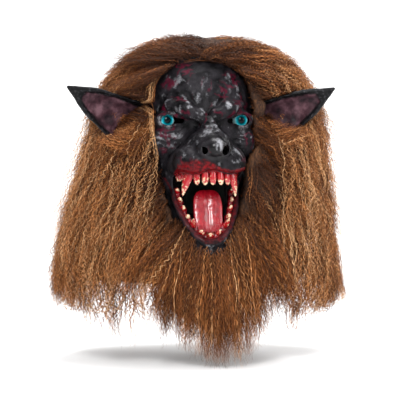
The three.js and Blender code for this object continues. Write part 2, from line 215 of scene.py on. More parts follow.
def relax(verts, quads, rounds=2, amount=0.5):
    """Laplacian smoothing that takes away the grid's stair steps."""
    edges = np.concatenate([quads[:, [0, 1]], quads[:, [1, 2]], quads[:, [2, 3]], quads[:, [3, 0]]])
    for _ in range(rounds):
        total = np.zeros_like(verts)
        hits = np.zeros(len(verts))
        for a, b in ((0, 1), (1, 0)):
            for axis in range(3):
                total[:, axis] += np.bincount(edges[:, a], verts[edges[:, b], axis], len(verts))
            hits += np.bincount(edges[:, a], minlength=len(verts))
        verts = verts + amount * (total / np.maximum(hits, 1)[:, None] - verts)
    return verts


def normals_of(verts, faces):
    a, b, c, d = (verts[faces[:, k]] for k in range(4))
    face = np.cross(c - a, d - b)
    out = np.zeros_like(verts)
    for k in range(4):
        for axis in range(3):
            out[:, axis] += np.bincount(faces[:, k], face[:, axis], len(verts))
    return out / (np.linalg.norm(out, axis=1, keepdims=True) + 1e-9)


# ------------------------------------------------------------------ meshes

def mesh_object(name, verts, faces, attributes=None):
    """An object from millimetre vertices and equal-sided faces, with float attributes on its points."""
    faces = np.asarray(faces)
    me = bpy.data.meshes.new(name)
    me.vertices.add(len(verts))
    me.vertices.foreach_set("co", (np.asarray(verts) * MM).astype(np.float32).ravel())
    sides = faces.shape[1]
    me.loops.add(faces.size)
    me.loops.foreach_set("vertex_index", faces.astype(np.int32).ravel())
    me.polygons.add(len(faces))
    me.polygons.foreach_set("loop_start", np.arange(0, faces.size, sides, dtype=np.int32))
    me.polygons.foreach_set("use_smooth", np.full(len(faces), True))
    for key, values in (attributes or {}).items():
        layer = me.attributes.new(key, "FLOAT", "POINT")
        layer.data.foreach_set("value", np.asarray(values, np.float32))
    me.update(calc_edges=True)
    me.validate()
    obj = bpy.data.objects.new(name, me)
    bpy.context.scene.collection.objects.link(obj)
    return obj


def drop_loose(verts, quads, keep=1):
    """Keeps the largest connected bodies of a quad mesh."""
    label = np.arange(len(verts))
    while True:
        low = label[quads].min(1)
        new = label.copy()
        for k in range(4):
            np.minimum.at(new, quads[:, k], low)
        new = new[new]
        if (new == label).all():
            break
        label = new
    names, counts = np.unique(label, return_counts=True)
    kept = names[np.argsort(-counts)[:keep]]
    alive = np.isin(label, kept)
    index = np.cumsum(alive) - 1
    return verts[alive], index[quads[alive[quads[:, 0]]]]


# ------------------------------------------------------------------ materials

class Shader:
    """A small helper round one node material."""

    def __init__(self, name):
        self.mat = bpy.data.materials.new(name)
        self.mat.use_nodes = True
        self.tree = self.mat.node_tree
        self.bsdf = self.tree.nodes["Principled BSDF"]

    def node(self, kind, **inputs):
        made = self.tree.nodes.new(kind)
        for key, value in inputs.items():
            self.feed(made.inputs[key.replace("_", " ")], value)
        return made

    def feed(self, socket, value):
        if isinstance(value, bpy.types.NodeSocket):
            self.tree.links.new(value, socket)
        else:
            socket.default_value = value

    def fixed(self, **values):
        for key, value in values.items():
            self.bsdf.inputs[key.replace("_", " ")].default_value = value

    def attribute(self, name):
        made = self.tree.nodes.new("ShaderNodeAttribute")
        made.attribute_name = name
        return made.outputs["Fac"]

    def coords(self):
        return self.tree.nodes.new("ShaderNodeTexCoord").outputs["Object"]

    def noise(self, scale, detail=4.0, roughness=0.55, vector=None):
        made = self.node("ShaderNodeTexNoise", Scale=scale, Detail=detail, Roughness=roughness)
        self.feed(made.inputs["Vector"], self.coords() if vector is None else vector)
        return made.outputs["Fac"]

    def math(self, operation, a, b=0.0, clamp=False):
        made = self.tree.nodes.new("ShaderNodeMath")
        made.operation = operation
        made.use_clamp = clamp
        self.feed(made.inputs[0], a)
        self.feed(made.inputs[1], b)
        return made.outputs[0]

    def ramp(self, value, stops):
        made = self.tree.nodes.new("ShaderNodeValToRGB")
        ramp = made.color_ramp
        while len(ramp.elements) < len(stops):
            ramp.elements.new(0.5)
        for element, (place, colour) in zip(ramp.elements, stops):
            element.position = place
            element.color = (*colour, 1) if hasattr(colour, "__len__") else (colour, colour, colour, 1)
        self.feed(made.inputs[0], value)
        return made.outputs["Color"]

    def mix(self, factor, a, b):
        made = self.tree.nodes.new("ShaderNodeMix")
        made.data_type = "RGBA"
        self.feed(made.inputs[0], factor)
        self.feed(made.inputs[6], (*a, 1) if isinstance(a, tuple) else a)
        self.feed(made.inputs[7], (*b, 1) if isinstance(b, tuple) else b)
        return made.outputs[2]

    def bump(self, height, strength, distance):
        made = self.node("ShaderNodeBump", Strength=strength, Distance=distance, Height=height)
        self.feed(self.bsdf.inputs["Normal"], made.outputs[0])

    def colour(self, value):
        self.feed(self.bsdf.inputs["Base Color"], value)


def latex_material():
    s = Shader("latex")
    grain = s.noise(420, 5)
    blotch = s.noise(55, 4)
    speckle = s.math("ADD", s.math("MULTIPLY", grain, 0.9), s.noise(1100, 3))
    high = s.math("MULTIPLY", s.attribute("high"), speckle)
    # dry-brushed silver grey, which on forward-facing surfaces and on the nose tip is also painted highlight
    brushed_and_highlight = s.ramp(high, [(0.40, 0.0), (1.0, 1.0)])
    base = s.mix(s.ramp(blotch, [(0.35, 0.0), (0.70, 1.0)]), (0.0008, 0.0008, 0.0012), (0.018, 0.016, 0.019))
    grey = s.mix(brushed_and_highlight, base, (0.26, 0.26, 0.28))
    red = s.math("MULTIPLY", s.attribute("red"), s.math("ADD", s.noise(180, 4), 0.35), clamp=True)
    tinted = s.mix(s.ramp(red, [(0.45, 0.0), (1.0, 1.0)]), grey, (0.052, 0.002, 0.010))
    flesh_tone = s.ramp(s.noise(240, 4), [(0.36, 0.0), (0.66, 1.0)])
    flesh = s.mix(flesh_tone, (0.022, 0.0004, 0.0012), (0.135, 0.0012, 0.0035))
    lips = s.mix(s.ramp(s.attribute("lip"), [(0.25, 0.0), (0.75, 1.0)]), tinted, flesh)
    s.colour(lips)
    s.feed(s.bsdf.inputs["Roughness"], s.math("SUBTRACT", 0.46, s.math("MULTIPLY", s.attribute("wet"), 0.26)))
    s.feed(s.bsdf.inputs["Coat Weight"], s.math("MULTIPLY", s.attribute("wet"), 0.5))
    s.fixed(Coat_Roughness=0.22, Specular_IOR_Level=0.07)
    pores = s.node("ShaderNodeTexVoronoi", Scale=520.0)
    s.feed(pores.inputs["Vector"], s.coords())
    matt = s.math("SUBTRACT", 1.0, s.attribute("wet"))
    relief = s.math("ADD", s.math("MULTIPLY", grain, 0.7), pores.outputs["Distance"])
    s.bump(s.math("MULTIPLY", relief, matt), 0.35, 0.0009)
    return s.mat


def wet_material(name, dark, light, streak_scale, roughness):
    s = Shader(name)
    blotch = s.noise(streak_scale, 4)
    fine = s.noise(streak_scale * 5, 4)
    value = s.math("ADD", s.math("MULTIPLY", blotch, 0.6), s.math("MULTIPLY", fine, 0.4))
    s.colour(s.ramp(value, [(0.36, dark), (0.62, light)]))
    s.fixed(Roughness=roughness, Coat_Weight=0.5, Coat_Roughness=0.09, Specular_IOR_Level=0.3)
    s.bump(fine, 0.5, 0.0012)
    return s.mat


def tooth_material():
    s = Shader("tooth")
    smear = s.noise(260, 4)
    level = s.math("ADD", s.attribute("tip"), s.math("MULTIPLY", s.math("SUBTRACT", smear, 0.5), 3.6))
    ivory = s.mix(s.noise(90, 3), (0.50, 0.33, 0.19), (0.66, 0.52, 0.34))
    bloody = s.ramp(level, [(0.62, 1.0), (1.0, 0.0)])
    s.colour(s.mix(bloody, ivory, (0.28, 0.003, 0.007)))
    s.fixed(Roughness=0.26, Coat_Weight=0.6, Coat_Roughness=0.06, Specular_IOR_Level=0.35)
    s.bump(smear, 0.3, 0.0008)
    return s.mat


def eye_material():
    s = Shader("eye")
    rays = s.node("ShaderNodeTexNoise", Scale=9.0, Detail=3.0)
    s.feed(rays.inputs["Vector"], s.attribute("turn"))
    ragged = s.math("MULTIPLY", s.math("SUBTRACT", rays.outputs["Fac"], 0.5), 0.10)
    radius = s.math("ADD", s.attribute("out"), ragged)
    iris = s.ramp(radius, [
        (0.0, (0.0, 0.001, 0.002)), (0.42, (0.0, 0.004, 0.006)), (0.50, (0.0, 0.05, 0.06)),
        (0.62, (0.001, 0.16, 0.20)), (0.74, (0.01, 0.46, 0.60)), (0.85, (0.20, 0.85, 0.98)),
        (1.0, (0.60, 0.92, 0.95)),
    ])
    s.colour(iris)
    s.fixed(Roughness=0.6, Specular_IOR_Level=0.0, Coat_Weight=0.22, Coat_Roughness=0.03)
    return s.mat


def ear_material():
    s = Shader("ear_latex")
    grain = s.noise(300, 5)
    veins = s.noise(70, 6)
    outside = s.mix(s.ramp(grain, [(0.54, 0.0), (0.80, 1.0)]), (0.0015, 0.0015, 0.002), (0.05, 0.048, 0.054))
    inside = s.ramp(veins, [
        (0.34, (0.008, 0.004, 0.006)), (0.50, (0.036, 0.015, 0.020)), (0.70, (0.105, 0.052, 0.064)),
    ])
    s.colour(s.mix(s.attribute("inside"), outside, inside))
    s.fixed(Roughness=0.46, Specular_IOR_Level=0.12)
    s.bump(s.math("ADD", grain, s.math("MULTIPLY", veins, 1.5)), 0.35, 0.001)
    return s.mat


def cloth_material(name, dark, light, thread, sheen):
    s = Shader(name)
    wave_a = s.node("ShaderNodeTexWave", Scale=thread, Distortion=0.6)
    wave_a.bands_direction = "X"
    wave_b = s.node("ShaderNodeTexWave", Scale=thread, Distortion=0.6)
    wave_b.bands_direction = "Z"
    for wave in (wave_a, wave_b):
        s.feed(wave.inputs["Vector"], s.coords())
    weave = s.math("MULTIPLY", wave_a.outputs["Fac"], wave_b.outputs["Fac"])
    s.colour(s.mix(weave, dark, light))
    s.fixed(Roughness=0.92, Sheen_Weight=sheen, Specular_IOR_Level=0.1)
    s.bump(weave, 0.6, 0.0006)
    return s.mat


def fur_material(name):
    """Hair colour from strand to strand (U of its own UV layer), with painted shade towards the root and
    painted highlight bands at the crimps along the strand (V).
    """
    s = Shader(name)
    uv = s.tree.nodes.new("ShaderNodeUVMap")
    uv.uv_map = "OFBake"
    parts = s.node("ShaderNodeSeparateXYZ", Vector=uv.outputs[0])
    along, own = parts.outputs["Y"], parts.outputs["X"]
    body = s.ramp(own, [
        (0.0, (0.028, 0.008, 0.002)), (0.26, (0.12, 0.035, 0.008)), (0.50, (0.32, 0.102, 0.025)),
        (0.75, (0.62, 0.25, 0.078)), (1.0, (0.96, 0.56, 0.27)),
    ])
    # painted shade: each strand darkens towards its root, where the mane shades it
    light = s.ramp(along, [(0.0, 0.10), (0.22, 0.55), (0.55, 1.0)])
    root_shaded = s.mix(light, (0.012, 0.004, 0.002), body)
    # painted highlight and shade: light and dark bands along the strand, one pair for each crimp bend
    crimp_highlight_wave = s.math("SINE", s.math("ADD", s.math("MULTIPLY", along, 75.0), s.math("MULTIPLY", own, 23.0)))
    bent = s.ramp(s.math("ADD", s.math("MULTIPLY", crimp_highlight_wave, 0.5), 0.5), [(0.0, 0.30), (0.55, 0.75), (1.0, 1.0)])
    s.colour(s.mix(bent, (0.030, 0.010, 0.004), root_shaded))
    s.fixed(Roughness=0.50, Specular_IOR_Level=0.18)
    return s.mat


def core_material():
    """The dense under-fur: streaks that run down the pelt, in a very dark brown that is partly the fur's
    colour and partly painted shade deep in the mane.
    """
    s = Shader("under_fur")
    place = s.node("ShaderNodeMapping", Vector=s.coords())
    place.inputs["Scale"].default_value = (1.0, 1.0, 0.45)
    streaks = s.noise(480, 5, vector=place.outputs[0])
    broad = s.noise(60, 3, vector=place.outputs[0])
    tone = s.math("ADD", s.math("MULTIPLY", streaks, 0.6), s.math("MULTIPLY", broad, 0.4))
    # painted shade: the under-fur is kept far darker than the strands over it, for the shade between them
    s.colour(s.ramp(tone, [
        (0.36, (0.006, 0.002, 0.001)), (0.50, (0.028, 0.010, 0.0035)), (0.64, (0.080, 0.031, 0.010)),
    ]))
    s.fixed(Roughness=0.75, Specular_IOR_Level=0.25)
    s.bump(streaks, 0.8, 0.003)
    return s.mat


def plain_material(name, colour, roughness):
    s = Shader(name)
    s.colour((*colour, 1))
    s.fixed(Roughness=roughness)
    return s.mat


def dress(obj, material, body, slot, *replaced):
    obj.data.materials.clear()
    obj.data.materials.append(material)
    if body:
        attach(obj, body)
    if replaced:
        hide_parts(*replaced)
    return obj


# ------------------------------------------------------------------ face skin

def brow_ridge(q):
    """Angry brow, low between the eyes and high outside; q is folded to +X."""
    inner = rod(q, (10, -122, -104), (30, -112, -94), 9, 10.5)
    outer = rod(q, (30, -112, -94), (52, -94, -86), 10.5, 6)
    return join(inner, outer, 6)


def head_form(p):
    q = both_sides(p)
    d = ball(p, (0, -5, -100), (86, 108, 103))
    d = join(d, ball(p, (0, -30, -175), (74, 85, 75)), 12)
    neck = (np.sqrt((p[..., 0] / 72) ** 2 + ((p[..., 1] - 4) / 74) ** 2) - 1) * 72
    d = join(d, np.maximum(neck, p[..., 2] + 150), 12)
    d = join(d, ball(q, (52, -80, -138), (24, 24, 24)), 10)
    d = join(d, ball(p, (0, -110, -146), (34, 60, 27)), 12)
    d = join(d, ball(q, (21, -126, -166), (31, 39, 23)), 7)
    d = join(d, ball(p, (0, -136, -163), (24, 34, 24)), 6)
    d = join(d, ball(q, (34, -104, -172), (21, 25, 20)), 8)
    d = join(d, brow_ridge(q), 7)
    d = join(d, ball(p, (0, -160, -147), (16.5, 21, 15.5)), 3.5)
    d = join(d, ball(q, (14, -158, -151), (10, 15.5, 11)), 4)
    d = join(d, rod(p, (0, -128, -116), (0, -150, -138), 11, 10), 7)
    return d


def nostril_form(p):
    q = both_sides(p)
    small = np.where(p[..., 0] < 0, 1.6, 0.0).astype(np.float32)
    hole = ball(q, (14.5, -174, -152), (5.0, 13, 6.2)) + small
    tail = rod(q, (16, -172, -149), (20.5, -160, -143), 3.2, 1.8) + small
    return join(hole, tail, 3)


def to_jaw(p):
    """World millimetres to the jaw's own frame: X, forward is -Y, up out of the mouth floor is +Z."""
    q = p - JAW_HINGE.astype(p.dtype)
    c, s = math.cos(JAW_DROP), math.sin(JAW_DROP)
    return np.stack([q[..., 0], c * q[..., 1] + s * q[..., 2], -s * q[..., 1] + c * q[..., 2]], -1)


def from_jaw(q):
    q = np.asarray(q, float)
    c, s = math.cos(JAW_DROP), math.sin(JAW_DROP)
    return np.stack([q[..., 0], c * q[..., 1] - s * q[..., 2], s * q[..., 1] + c * q[..., 2]], -1) + JAW_HINGE


def jaw_form(j):
    bowl = np.maximum(ball(j, (0, 0, 0), JAW_RADII), j[..., 1] + 6)
    chin = ball(j, (0, -108, -12), (27, 21, 13))
    return join(bowl, chin, 8)


def lip_line(x):
    """Height of the snarling upper lip: drawn up beside the fangs, lower in the middle and at the corners."""
    return LIP_Z + 2.5 * np.cos(np.clip(np.abs(x) / 26, 0, 1.6) * math.pi)


def eye_opening(q):
    slit = ball(q, (52.5, -104, -109), (10.8, 22, 6.6))
    peep = ball(q, (36.5, -100, -110), (5.4, 26, 2.9))
    return join(slit, peep, 5)


def skin_fields(p):
    """Latex shell and its outer form."""
    q = both_sides(p)
    j = to_jaw(p)
    lids = ball(q, (52, -88, -109), (19, 17.5, 14.5))
    outer = join(join(head_form(p), lids, 6), jaw_form(j), 9)
    shell = np.maximum(outer, -(outer + SKIN))
    above = p[..., 2] - lip_line(p[..., 0])
    below = JAW_RIM - j[..., 2]
    wedge = np.maximum(np.maximum(above, below), np.maximum(q[..., 0] - 45, p[..., 1] + 62))
    shell = carve(shell, wedge, 3)
    front = p[..., 1] + 64
    upper_lip = np.sqrt((outer + 2.0) ** 2 + above ** 2) - 4.2
    lower_lip = np.sqrt((outer + 2.0) ** 2 + (j[..., 2] - JAW_RIM) ** 2) - 3.6
    width = q[..., 0] - 47
    shell = join(shell, np.maximum(np.maximum(upper_lip, width), front), 4)
    shell = join(shell, np.maximum(np.maximum(lower_lip, width), np.maximum(front, p[..., 2] + 190)), 4)
    shell = carve(shell, ball(q, EYE, (11.6, 11.6, 11.6)), 0.8)
    shell = carve(shell, eye_opening(q), 2.5)
    shell = carve(shell, nostril_form(p), 1.5)
    return np.maximum(shell, NECK_RIM_Z - p[..., 2]), outer


# creases and folds of the latex as x, z polylines on the +X side: height, half width, points
FOLDS = (
    (3.6, 4.6, ((7, -103), (10, -88), (18, -72))),
    (2.8, 6.0, ((12, -84), (24, -66), (30, -48))),
    (3.2, 4.2, ((17, -98), (26, -86), (36, -72))),
    (2.2, 4.4, ((30, -86), (44, -76), (60, -74))),
    (1.6, 6.0, ((42, -62), (54, -58), (64, -66))),
    (2.0, 7.0, ((-2, -72), (2, -56), (0, -42))),
    (1.8, 2.2, ((33, -119), (42, -127), (55, -130), (69, -124))),
    (1.7, 2.2, ((29, -124), (40, -133), (56, -137), (72, -131))),
    (1.6, 2.3, ((26, -128), (38, -140), (54, -145), (70, -141))),
    (2.0, 2.6, ((18, -130), (34, -142), (48, -156), (54, -172))),
    (1.8, 2.6, ((22, -138), (33, -150), (42, -163), (46, -176))),
    (1.6, 2.0, ((0, -112), (8, -110), (16, -105))),
    (1.8, 2.0, ((0, -119), (9, -117), (19, -111))),
    (1.5, 2.1, ((0, -126), (10, -124), (21, -118))),
    (1.6, 2.2, ((19, -152), (28, -160), (32, -170))),
    (1.5, 2.2, ((56, -152), (62, -166), (58, -184))),
    (1.4, 2.4, ((48, -196), (42, -222), (34, -248))),
    (1.3, 2.2, ((68, -100), (72, -112), (72, -124))),
)


def fold_height(p):
    """Raised folds with a shallow trough on both sides, at points of the front of the face."""
    wobble = (fbm(p, 16.0, 2) - 0.5) * 5
    x, z = np.abs(p[:, 0]) + wobble, p[:, 2] + (fbm(p, 14.0, 2, 3.1) - 0.5) * 5
    total = np.zeros(len(p))
    for height, half, line in FOLDS:
        near = np.full(len(p), 1e9)
        for (ax, az), (bx, bz) in zip(line[:-1], line[1:]):
            dx, dz = bx - ax, bz - az
            t = np.clip(((x - ax) * dx + (z - az) * dz) / (dx * dx + dz * dz), 0, 1)
            near = np.minimum(near, np.hypot(x - ax - t * dx, z - az - t * dz))
        rise = np.exp(-(near / half) ** 2) - 0.45 * np.exp(-(near / (2.3 * half)) ** 2)
        total += 0.62 * height * rise
    return total


# half height of the raw band along the upper lip: x, height
UPPER_LIP_HEIGHT = ((-46, 8), (-35, 13), (-25, 16), (-12, 12), (-4, 7), (6, 3), (44, 3))

# dry-brushed silver patches: x, z, half width, half height, strength; the first, on the nose tip, is also a
# painted highlight
SCUFFS_AND_NOSE_HIGHLIGHT = (
    (4, -144, 6.5, 11, 1.05), (-27, -91, 8, 4, 0.8), (29, -88, 8, 7, 0.9), (-8, -96, 5, 6, 0.8),
    (49, -62, 10, 12, 0.6), (-42, -131, 12, 6, 0.85), (-50, -145, 9, 4, 0.7), (31, -166, 9, 5, 0.75),
    (52, -141, 6, 9, 0.7), (-40, -158, 6, 7, 0.55), (44, -126, 7, 4, 0.6), (-4, -120, 5, 4, 0.4),
)

# raw red patches of the latex: x, z, radius
RED_PATCHES = (
    (41, -53, 13), (23, -71, 11), (15, -94, 10), (51, -88, 12), (64, -133, 14), (-28, -37, 12),
    (-31, -76, 11), (-55, -124, 14), (-2, -108, 9), (36, -104, 9), (-36, -104, 9), (58, -104, 12),
    (-62, -96, 10), (-58, -150, 12), (2, -60, 8), (-48, -56, 9), (46, -160, 12), (-40, -166, 13),
    (-9, -153, 4), (-12, -172, 9),
)


def red_mask(p):
    total = np.zeros(len(p))
    for x, z, r in RED_PATCHES:
        d2 = (p[:, 0] - x) ** 2 + (p[:, 2] - z) ** 2
        total = np.maximum(total, np.exp(-d2 / r ** 2))
    veins = np.clip(1 - np.abs(2 * fbm(p, 13.0, 3, 9.0) - 1) * 5, 0, 1)
    return np.clip(total * (0.35 + 0.75 * veins) + 0.5 * veins * (p[:, 2] > -150), 0, 1)


def on_nose(verts, radii):
    """1 on the nose leather, fading to 0 about 4 mm outside the given radii."""
    return np.clip(0.4 - ball(verts, NOSE, radii) / 6, 0, 1)


def lip_marks(verts, outer):
    """How raw the latex is along the lower rim and the upper lip, widest on the wearer's right."""
    j = to_jaw(verts)
    rim = 0.62 * np.exp(-((j[:, 2] - JAW_RIM - 2) / 3.4) ** 2 - ((outer + 2.0) / 4.5) ** 2)
    rim *= (verts[:, 2] < -190) & (verts[:, 1] < MOUTH_BACK_Y)
    tall = np.interp(verts[:, 0], *np.array(UPPER_LIP_HEIGHT, float).T)
    tall *= 0.45 + 1.1 * fbm(verts, 9.0, 3, 5.5)
    raw = np.exp(-((verts[:, 2] - lip_line(verts[:, 0])) / tall) ** 2)
    raw *= (verts[:, 1] < MOUTH_BACK_Y) * (np.abs(verts[:, 0]) < 48)
    return np.maximum(rim, raw)


def silver_and_highlight_marks(verts, normals, relief, exposed, raw):
    """Dry-brushed grey on raised folds, in mottled patches and in the scuffs, less on lips and nose, with
    painted highlight added on forward-facing surfaces and on the nose tip.
    """
    patches = fbm(verts, 30.0, 2, 6.1)
    mottle = np.clip(2.4 * fbm(verts * np.array([1.0, 1.0, 0.55]), 6.0, 3, 8.8) - 0.95, 0, 1)
    high = np.clip(0.12 + relief * 0.55 + 0.7 * (patches - 0.42) + 0.43 * mottle, 0, 0.85)
    # painted highlight: forward-facing surfaces get more grey, as if lit from the front
    facing = np.clip(-normals[:, 1] * 1.2 + 0.2, 0, 1)
    high *= np.clip(0.35 + facing, 0, 1) * exposed * np.clip((-28 - verts[:, 2]) / 18, 0.2, 1)
    high *= 1 - 0.8 * np.clip(1.6 * raw, 0, 1)
    high *= 1 - 0.8 * on_nose(verts, NOSE_LEATHER)
    scratch = np.clip(2.6 * fbm(verts * np.array([1.0, 1.0, 0.6]), 4.2, 3, 3.3) - 0.35, 0, 1.1)
    for x, z, wide, tall, strength in SCUFFS_AND_NOSE_HIGHLIGHT:
        spot = np.exp(-(((verts[:, 0] - x) / wide) ** 2 + ((verts[:, 2] - z) / tall) ** 2))
        high = np.maximum(high, strength * spot * (verts[:, 1] < MOUTH_BACK_Y) * scratch)
    return high


def sculpt(verts, quads):
    """Adds the folds, then reads off where the dry-brushed grey with its painted highlight, the red and the
    lip colour lie.
    """
    outer = skin_fields(verts.astype(np.float32))[1]
    normals = normals_of(verts, quads)
    exposed = np.clip(1 + outer / 1.4, 0, 1) * np.clip((-40 - verts[:, 1]) / 20, 0, 1)
    lump = (fbm(verts, 15.0, 2, 1.7) - 0.5) * 3.4 + (fbm(verts, 4.0, 2, 4.4) - 0.5) * 0.5
    lip_zone = np.clip((np.abs(verts[:, 2] - lip_line(verts[:, 0])) - 3) / 6, 0, 1)
    off_nose = np.clip(ball(verts, NOSE, (19, 22, 17)) / 5, 0, 1)
    moved = verts + normals * ((fold_height(verts) + lump) * exposed * lip_zone * off_nose)[:, None]
    relief = ((moved - relax(moved, quads, 6, 0.6)) * normals).sum(1)
    raw = lip_marks(verts, outer)
    lip = np.clip(raw * (0.45 + 1.1 * fbm(verts, 4.0, 3, 2.2)), 0, 1)
    wet = np.clip(np.maximum(0.45 * on_nose(verts, NOSE_LEATHER), 0.22 * lip), 0, 1)
    high = silver_and_highlight_marks(verts, normals, relief, exposed, raw)
    return moved, {"high": high, "red": red_mask(verts), "lip": lip, "wet": wet}


def face_skin(latex):
    step = 1.3
    low, high = (-90, -192, -304), (90, SEAM_Y + 0.5, 8)

    def field(p):
        shell, _ = skin_fields(p)
        seam = p[..., 1] - SEAM_Y
        neck = np.minimum(NECK_SPLIT_Z - p[..., 2], p[..., 1] - NECK_SPLIT_Y)
        return np.maximum(np.maximum(shell, seam), neck)

    verts, quads = drop_loose(*surface(field, low, high, step))
    verts = relax(verts, quads, 2, 0.5)
    verts, marks = sculpt(verts, quads)
    skin = mesh_object("face_skin", verts, quads, marks)
    dress(skin, latex, None, "latex_black", "face_shell", "jaw_shell")
    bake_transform(skin)

    def neck_field(p):
        shell, _ = skin_fields(p)
        upper_front = np.maximum(p[..., 2] - NECK_SPLIT_Z + 0.7, NECK_SPLIT_Y + 0.8 - p[..., 1])
        return np.maximum(np.maximum(shell, p[..., 1] - SEAM_Y), upper_front)

    verts, quads = drop_loose(*surface(neck_field, (-90, -58, -304), (90, SEAM_Y + 0.5, -198), 2.4))
    verts = relax(verts, quads, 1, 0.5)
    blank = dict.fromkeys(("high", "red", "lip", "wet"), np.zeros(len(verts)))
    neck = mesh_object("neck_skin", verts, quads, blank)
    dress(neck, latex, "head", "latex_black", "face_shell")
    return skin


# ------------------------------------------------------------------ gums, tongue, teeth, eyes

UPPER_ARCH = {"radii": (39.5, 50.5), "centre": -104.0, "z": -184.0, "top": -172.0}
LOWER_ARCH = {"radii": (41.0, 107.0), "centre": 0.0}
UPPER_TEETH = {
    "incisor_upper_1": -32.5, "incisor_upper_2": -15.5, "incisor_upper_3": 0, "incisor_upper_4": 15.5,
    "incisor_upper_5": 32.5, "fang_upper_right": -49, "fang_upper_left": 49,
    "molar_upper_right_1": -64, "molar_upper_right_2": -76, "molar_upper_right_3": -88,
    "molar_upper_left_1": 64, "molar_upper_left_2": 76, "molar_upper_left_3": 88,
}
LOWER_TEETH = {
    "incisor_lower_1": -17, "incisor_lower_2": 0, "incisor_lower_3": 17, "fang_lower_right": -33,
    "fang_lower_left": 33, "molar_lower_right_1": -45, "molar_lower_right_2": -55, "molar_lower_right_3": -64,
    "molar_lower_right_4": -72.5, "molar_lower_left_1": 45, "molar_lower_left_2": 55,
    "molar_lower_left_3": 64, "molar_lower_left_4": 72.5,
}
MOLAR = ((3.4, -5), (4.3, 0), (4.3, 4), (3.3, 7.6), (1.6, 10), (0, 10.6))
INCISOR_UPPER = ((3.6, -5), (4.6, 0), (5.0, 5), (4.4, 9.5), (2.9, 13), (0.9, 14.6), (0, 14.8))
AROUND, RINGS = 20, 22
# half profile from root to tip as radius and height, depth over width, forward lean
PEGS = {
    "incisor_upper": (INCISOR_UPPER, 0.72, 0.6),
    "molar_upper": (MOLAR, 0.9, 0.4),
    "fang_upper": (((5.4, -6), (6.4, 0), (6.0, 8), (4.5, 18), (2.3, 27), (0.8, 31), (0, 31.6)), 0.8, 5.0),
    "fang_lower": (((4.6, -6), (5.4, 0), (4.9, 7), (3.3, 16), (1.2, 23), (0, 24.4)), 0.8, 3.0),
    "incisor_lower": (((3.4, -5), (4.3, 0), (4.7, 4.5), (3.6, 8), (1.7, 10.8), (0, 11.6)), 0.72, 0.4),
    "molar_lower": (MOLAR, 0.9, 0.4),
}


def arch_place(angle, arch, points_down):
    """Origin and axes (across, back, up) of a tooth on its row."""
    a = math.radians(angle)
    rx, ry = arch["radii"]
    x, y = rx * math.sin(a), arch["centre"] - ry * math.cos(a)
    facing = math.atan2(x / rx ** 2, (arch["centre"] - y) / ry ** 2)
    c, s = math.cos(facing), math.sin(facing)
    axes = np.array([[c, s, 0], [-s, c, 0], [0, 0, 1.0]])
    if points_down:
        axes[0] *= -1
        axes[2] *= -1
    return np.array([x, y, arch.get("z", 0.0)]), axes


def peg_points(kind, around=AROUND, rings=RINGS):
    profile, depth, lean = PEGS[kind]
    rows = np.array(profile, float)
    length = np.concatenate([[0], np.cumsum(np.hypot(*np.diff(rows, axis=0).T))])
    t = np.linspace(0, length[-1], rings)
    smooth = np.interp(t, length, rows[:, 0]), np.interp(t, length, rows[:, 1])
    radius = np.convolve(np.pad(smooth[0], 1, "edge"), [0.25, 0.5, 0.25], "valid")
    radius[-1] = 0.05
    turn = np.linspace(0, 2 * math.pi, around, endpoint=False)
    x = radius[:, None] * np.cos(turn)
    y = radius[:, None] * depth * np.sin(turn)
    z = np.repeat(smooth[1][:, None], around, 1)
    y = y - lean * np.sin(np.clip(z / rows[-1, 1], 0, 1) * math.pi / 2)
    return np.stack([x, y, z], -1).reshape(-1, 3), rows[-1, 1]


def lathe_faces(around, rings):
    faces = []
    for r in range(rings - 1):
        for a in range(around):
            b = (a + 1) % around
            faces.append((r * around + a, r * around + b, (r + 1) * around + b, (r + 1) * around + a))
    return faces


def capped(name, points, around, rings, attributes):
    """A closed lathe with both ends capped by one many-sided face each."""
    faces = lathe_faces(around, rings)
    me = bpy.data.meshes.new(name)
    ends = [tuple(range(around))[::-1], tuple(range((rings - 1) * around, rings * around))]
    me.from_pydata((points * MM).tolist(), [], faces + ends)
    me.polygons.foreach_set("use_smooth", [True] * len(me.polygons))
    for key, values in attributes.items():
        layer = me.attributes.new(key, "FLOAT", "POINT")
        layer.data.foreach_set("value", np.asarray(values, np.float32))
    obj = bpy.data.objects.new(name, me)
    bpy.context.scene.collection.objects.link(obj)
    return obj


def swung(angle):
    c, s = math.cos(angle), math.sin(angle)
    return np.array([[c, 0, -s], [0, 1, 0], [s, 0, c]])


def fang_lean(node):
    """Widens an upper fang a little and swings the wearer's right one outwards."""
    if "upper" not in node:
        return np.eye(3)
    swing = math.radians(14.0 if "right" in node else 0.0)
    return np.diag([1.16, 1.1, 1.0]) @ swung(swing)


def teeth(material):
    rows = (("upper", UPPER_TEETH, UPPER_ARCH, "head"), ("lower", LOWER_TEETH, LOWER_ARCH, "jaw"))
    for row, table, arch, body in rows:
        for node, angle in table.items():
            points, tip = peg_points(node.split("_")[0] + "_" + row)
            height = points[:, 2] / tip
            rough = (fbm(points + angle * 3.7, 5.0, 2) - 0.5) * 0.7
            points = points * (1 + rough * 0.12)[:, None]
            crooked = swung(math.radians(RNG.uniform(-5, 5)))
            points = points @ (fang_lean(node) if "fang" in node else crooked)
            origin, axes = arch_place(angle, arch, row == "upper")
            world = origin + points @ axes
            if row == "lower":
                world = from_jaw(world)
            obj = capped(node + "_look", world, AROUND, RINGS, {"tip": np.clip(height, 0, 1)})
            dress(obj, material, body, "tooth_ivory", node)


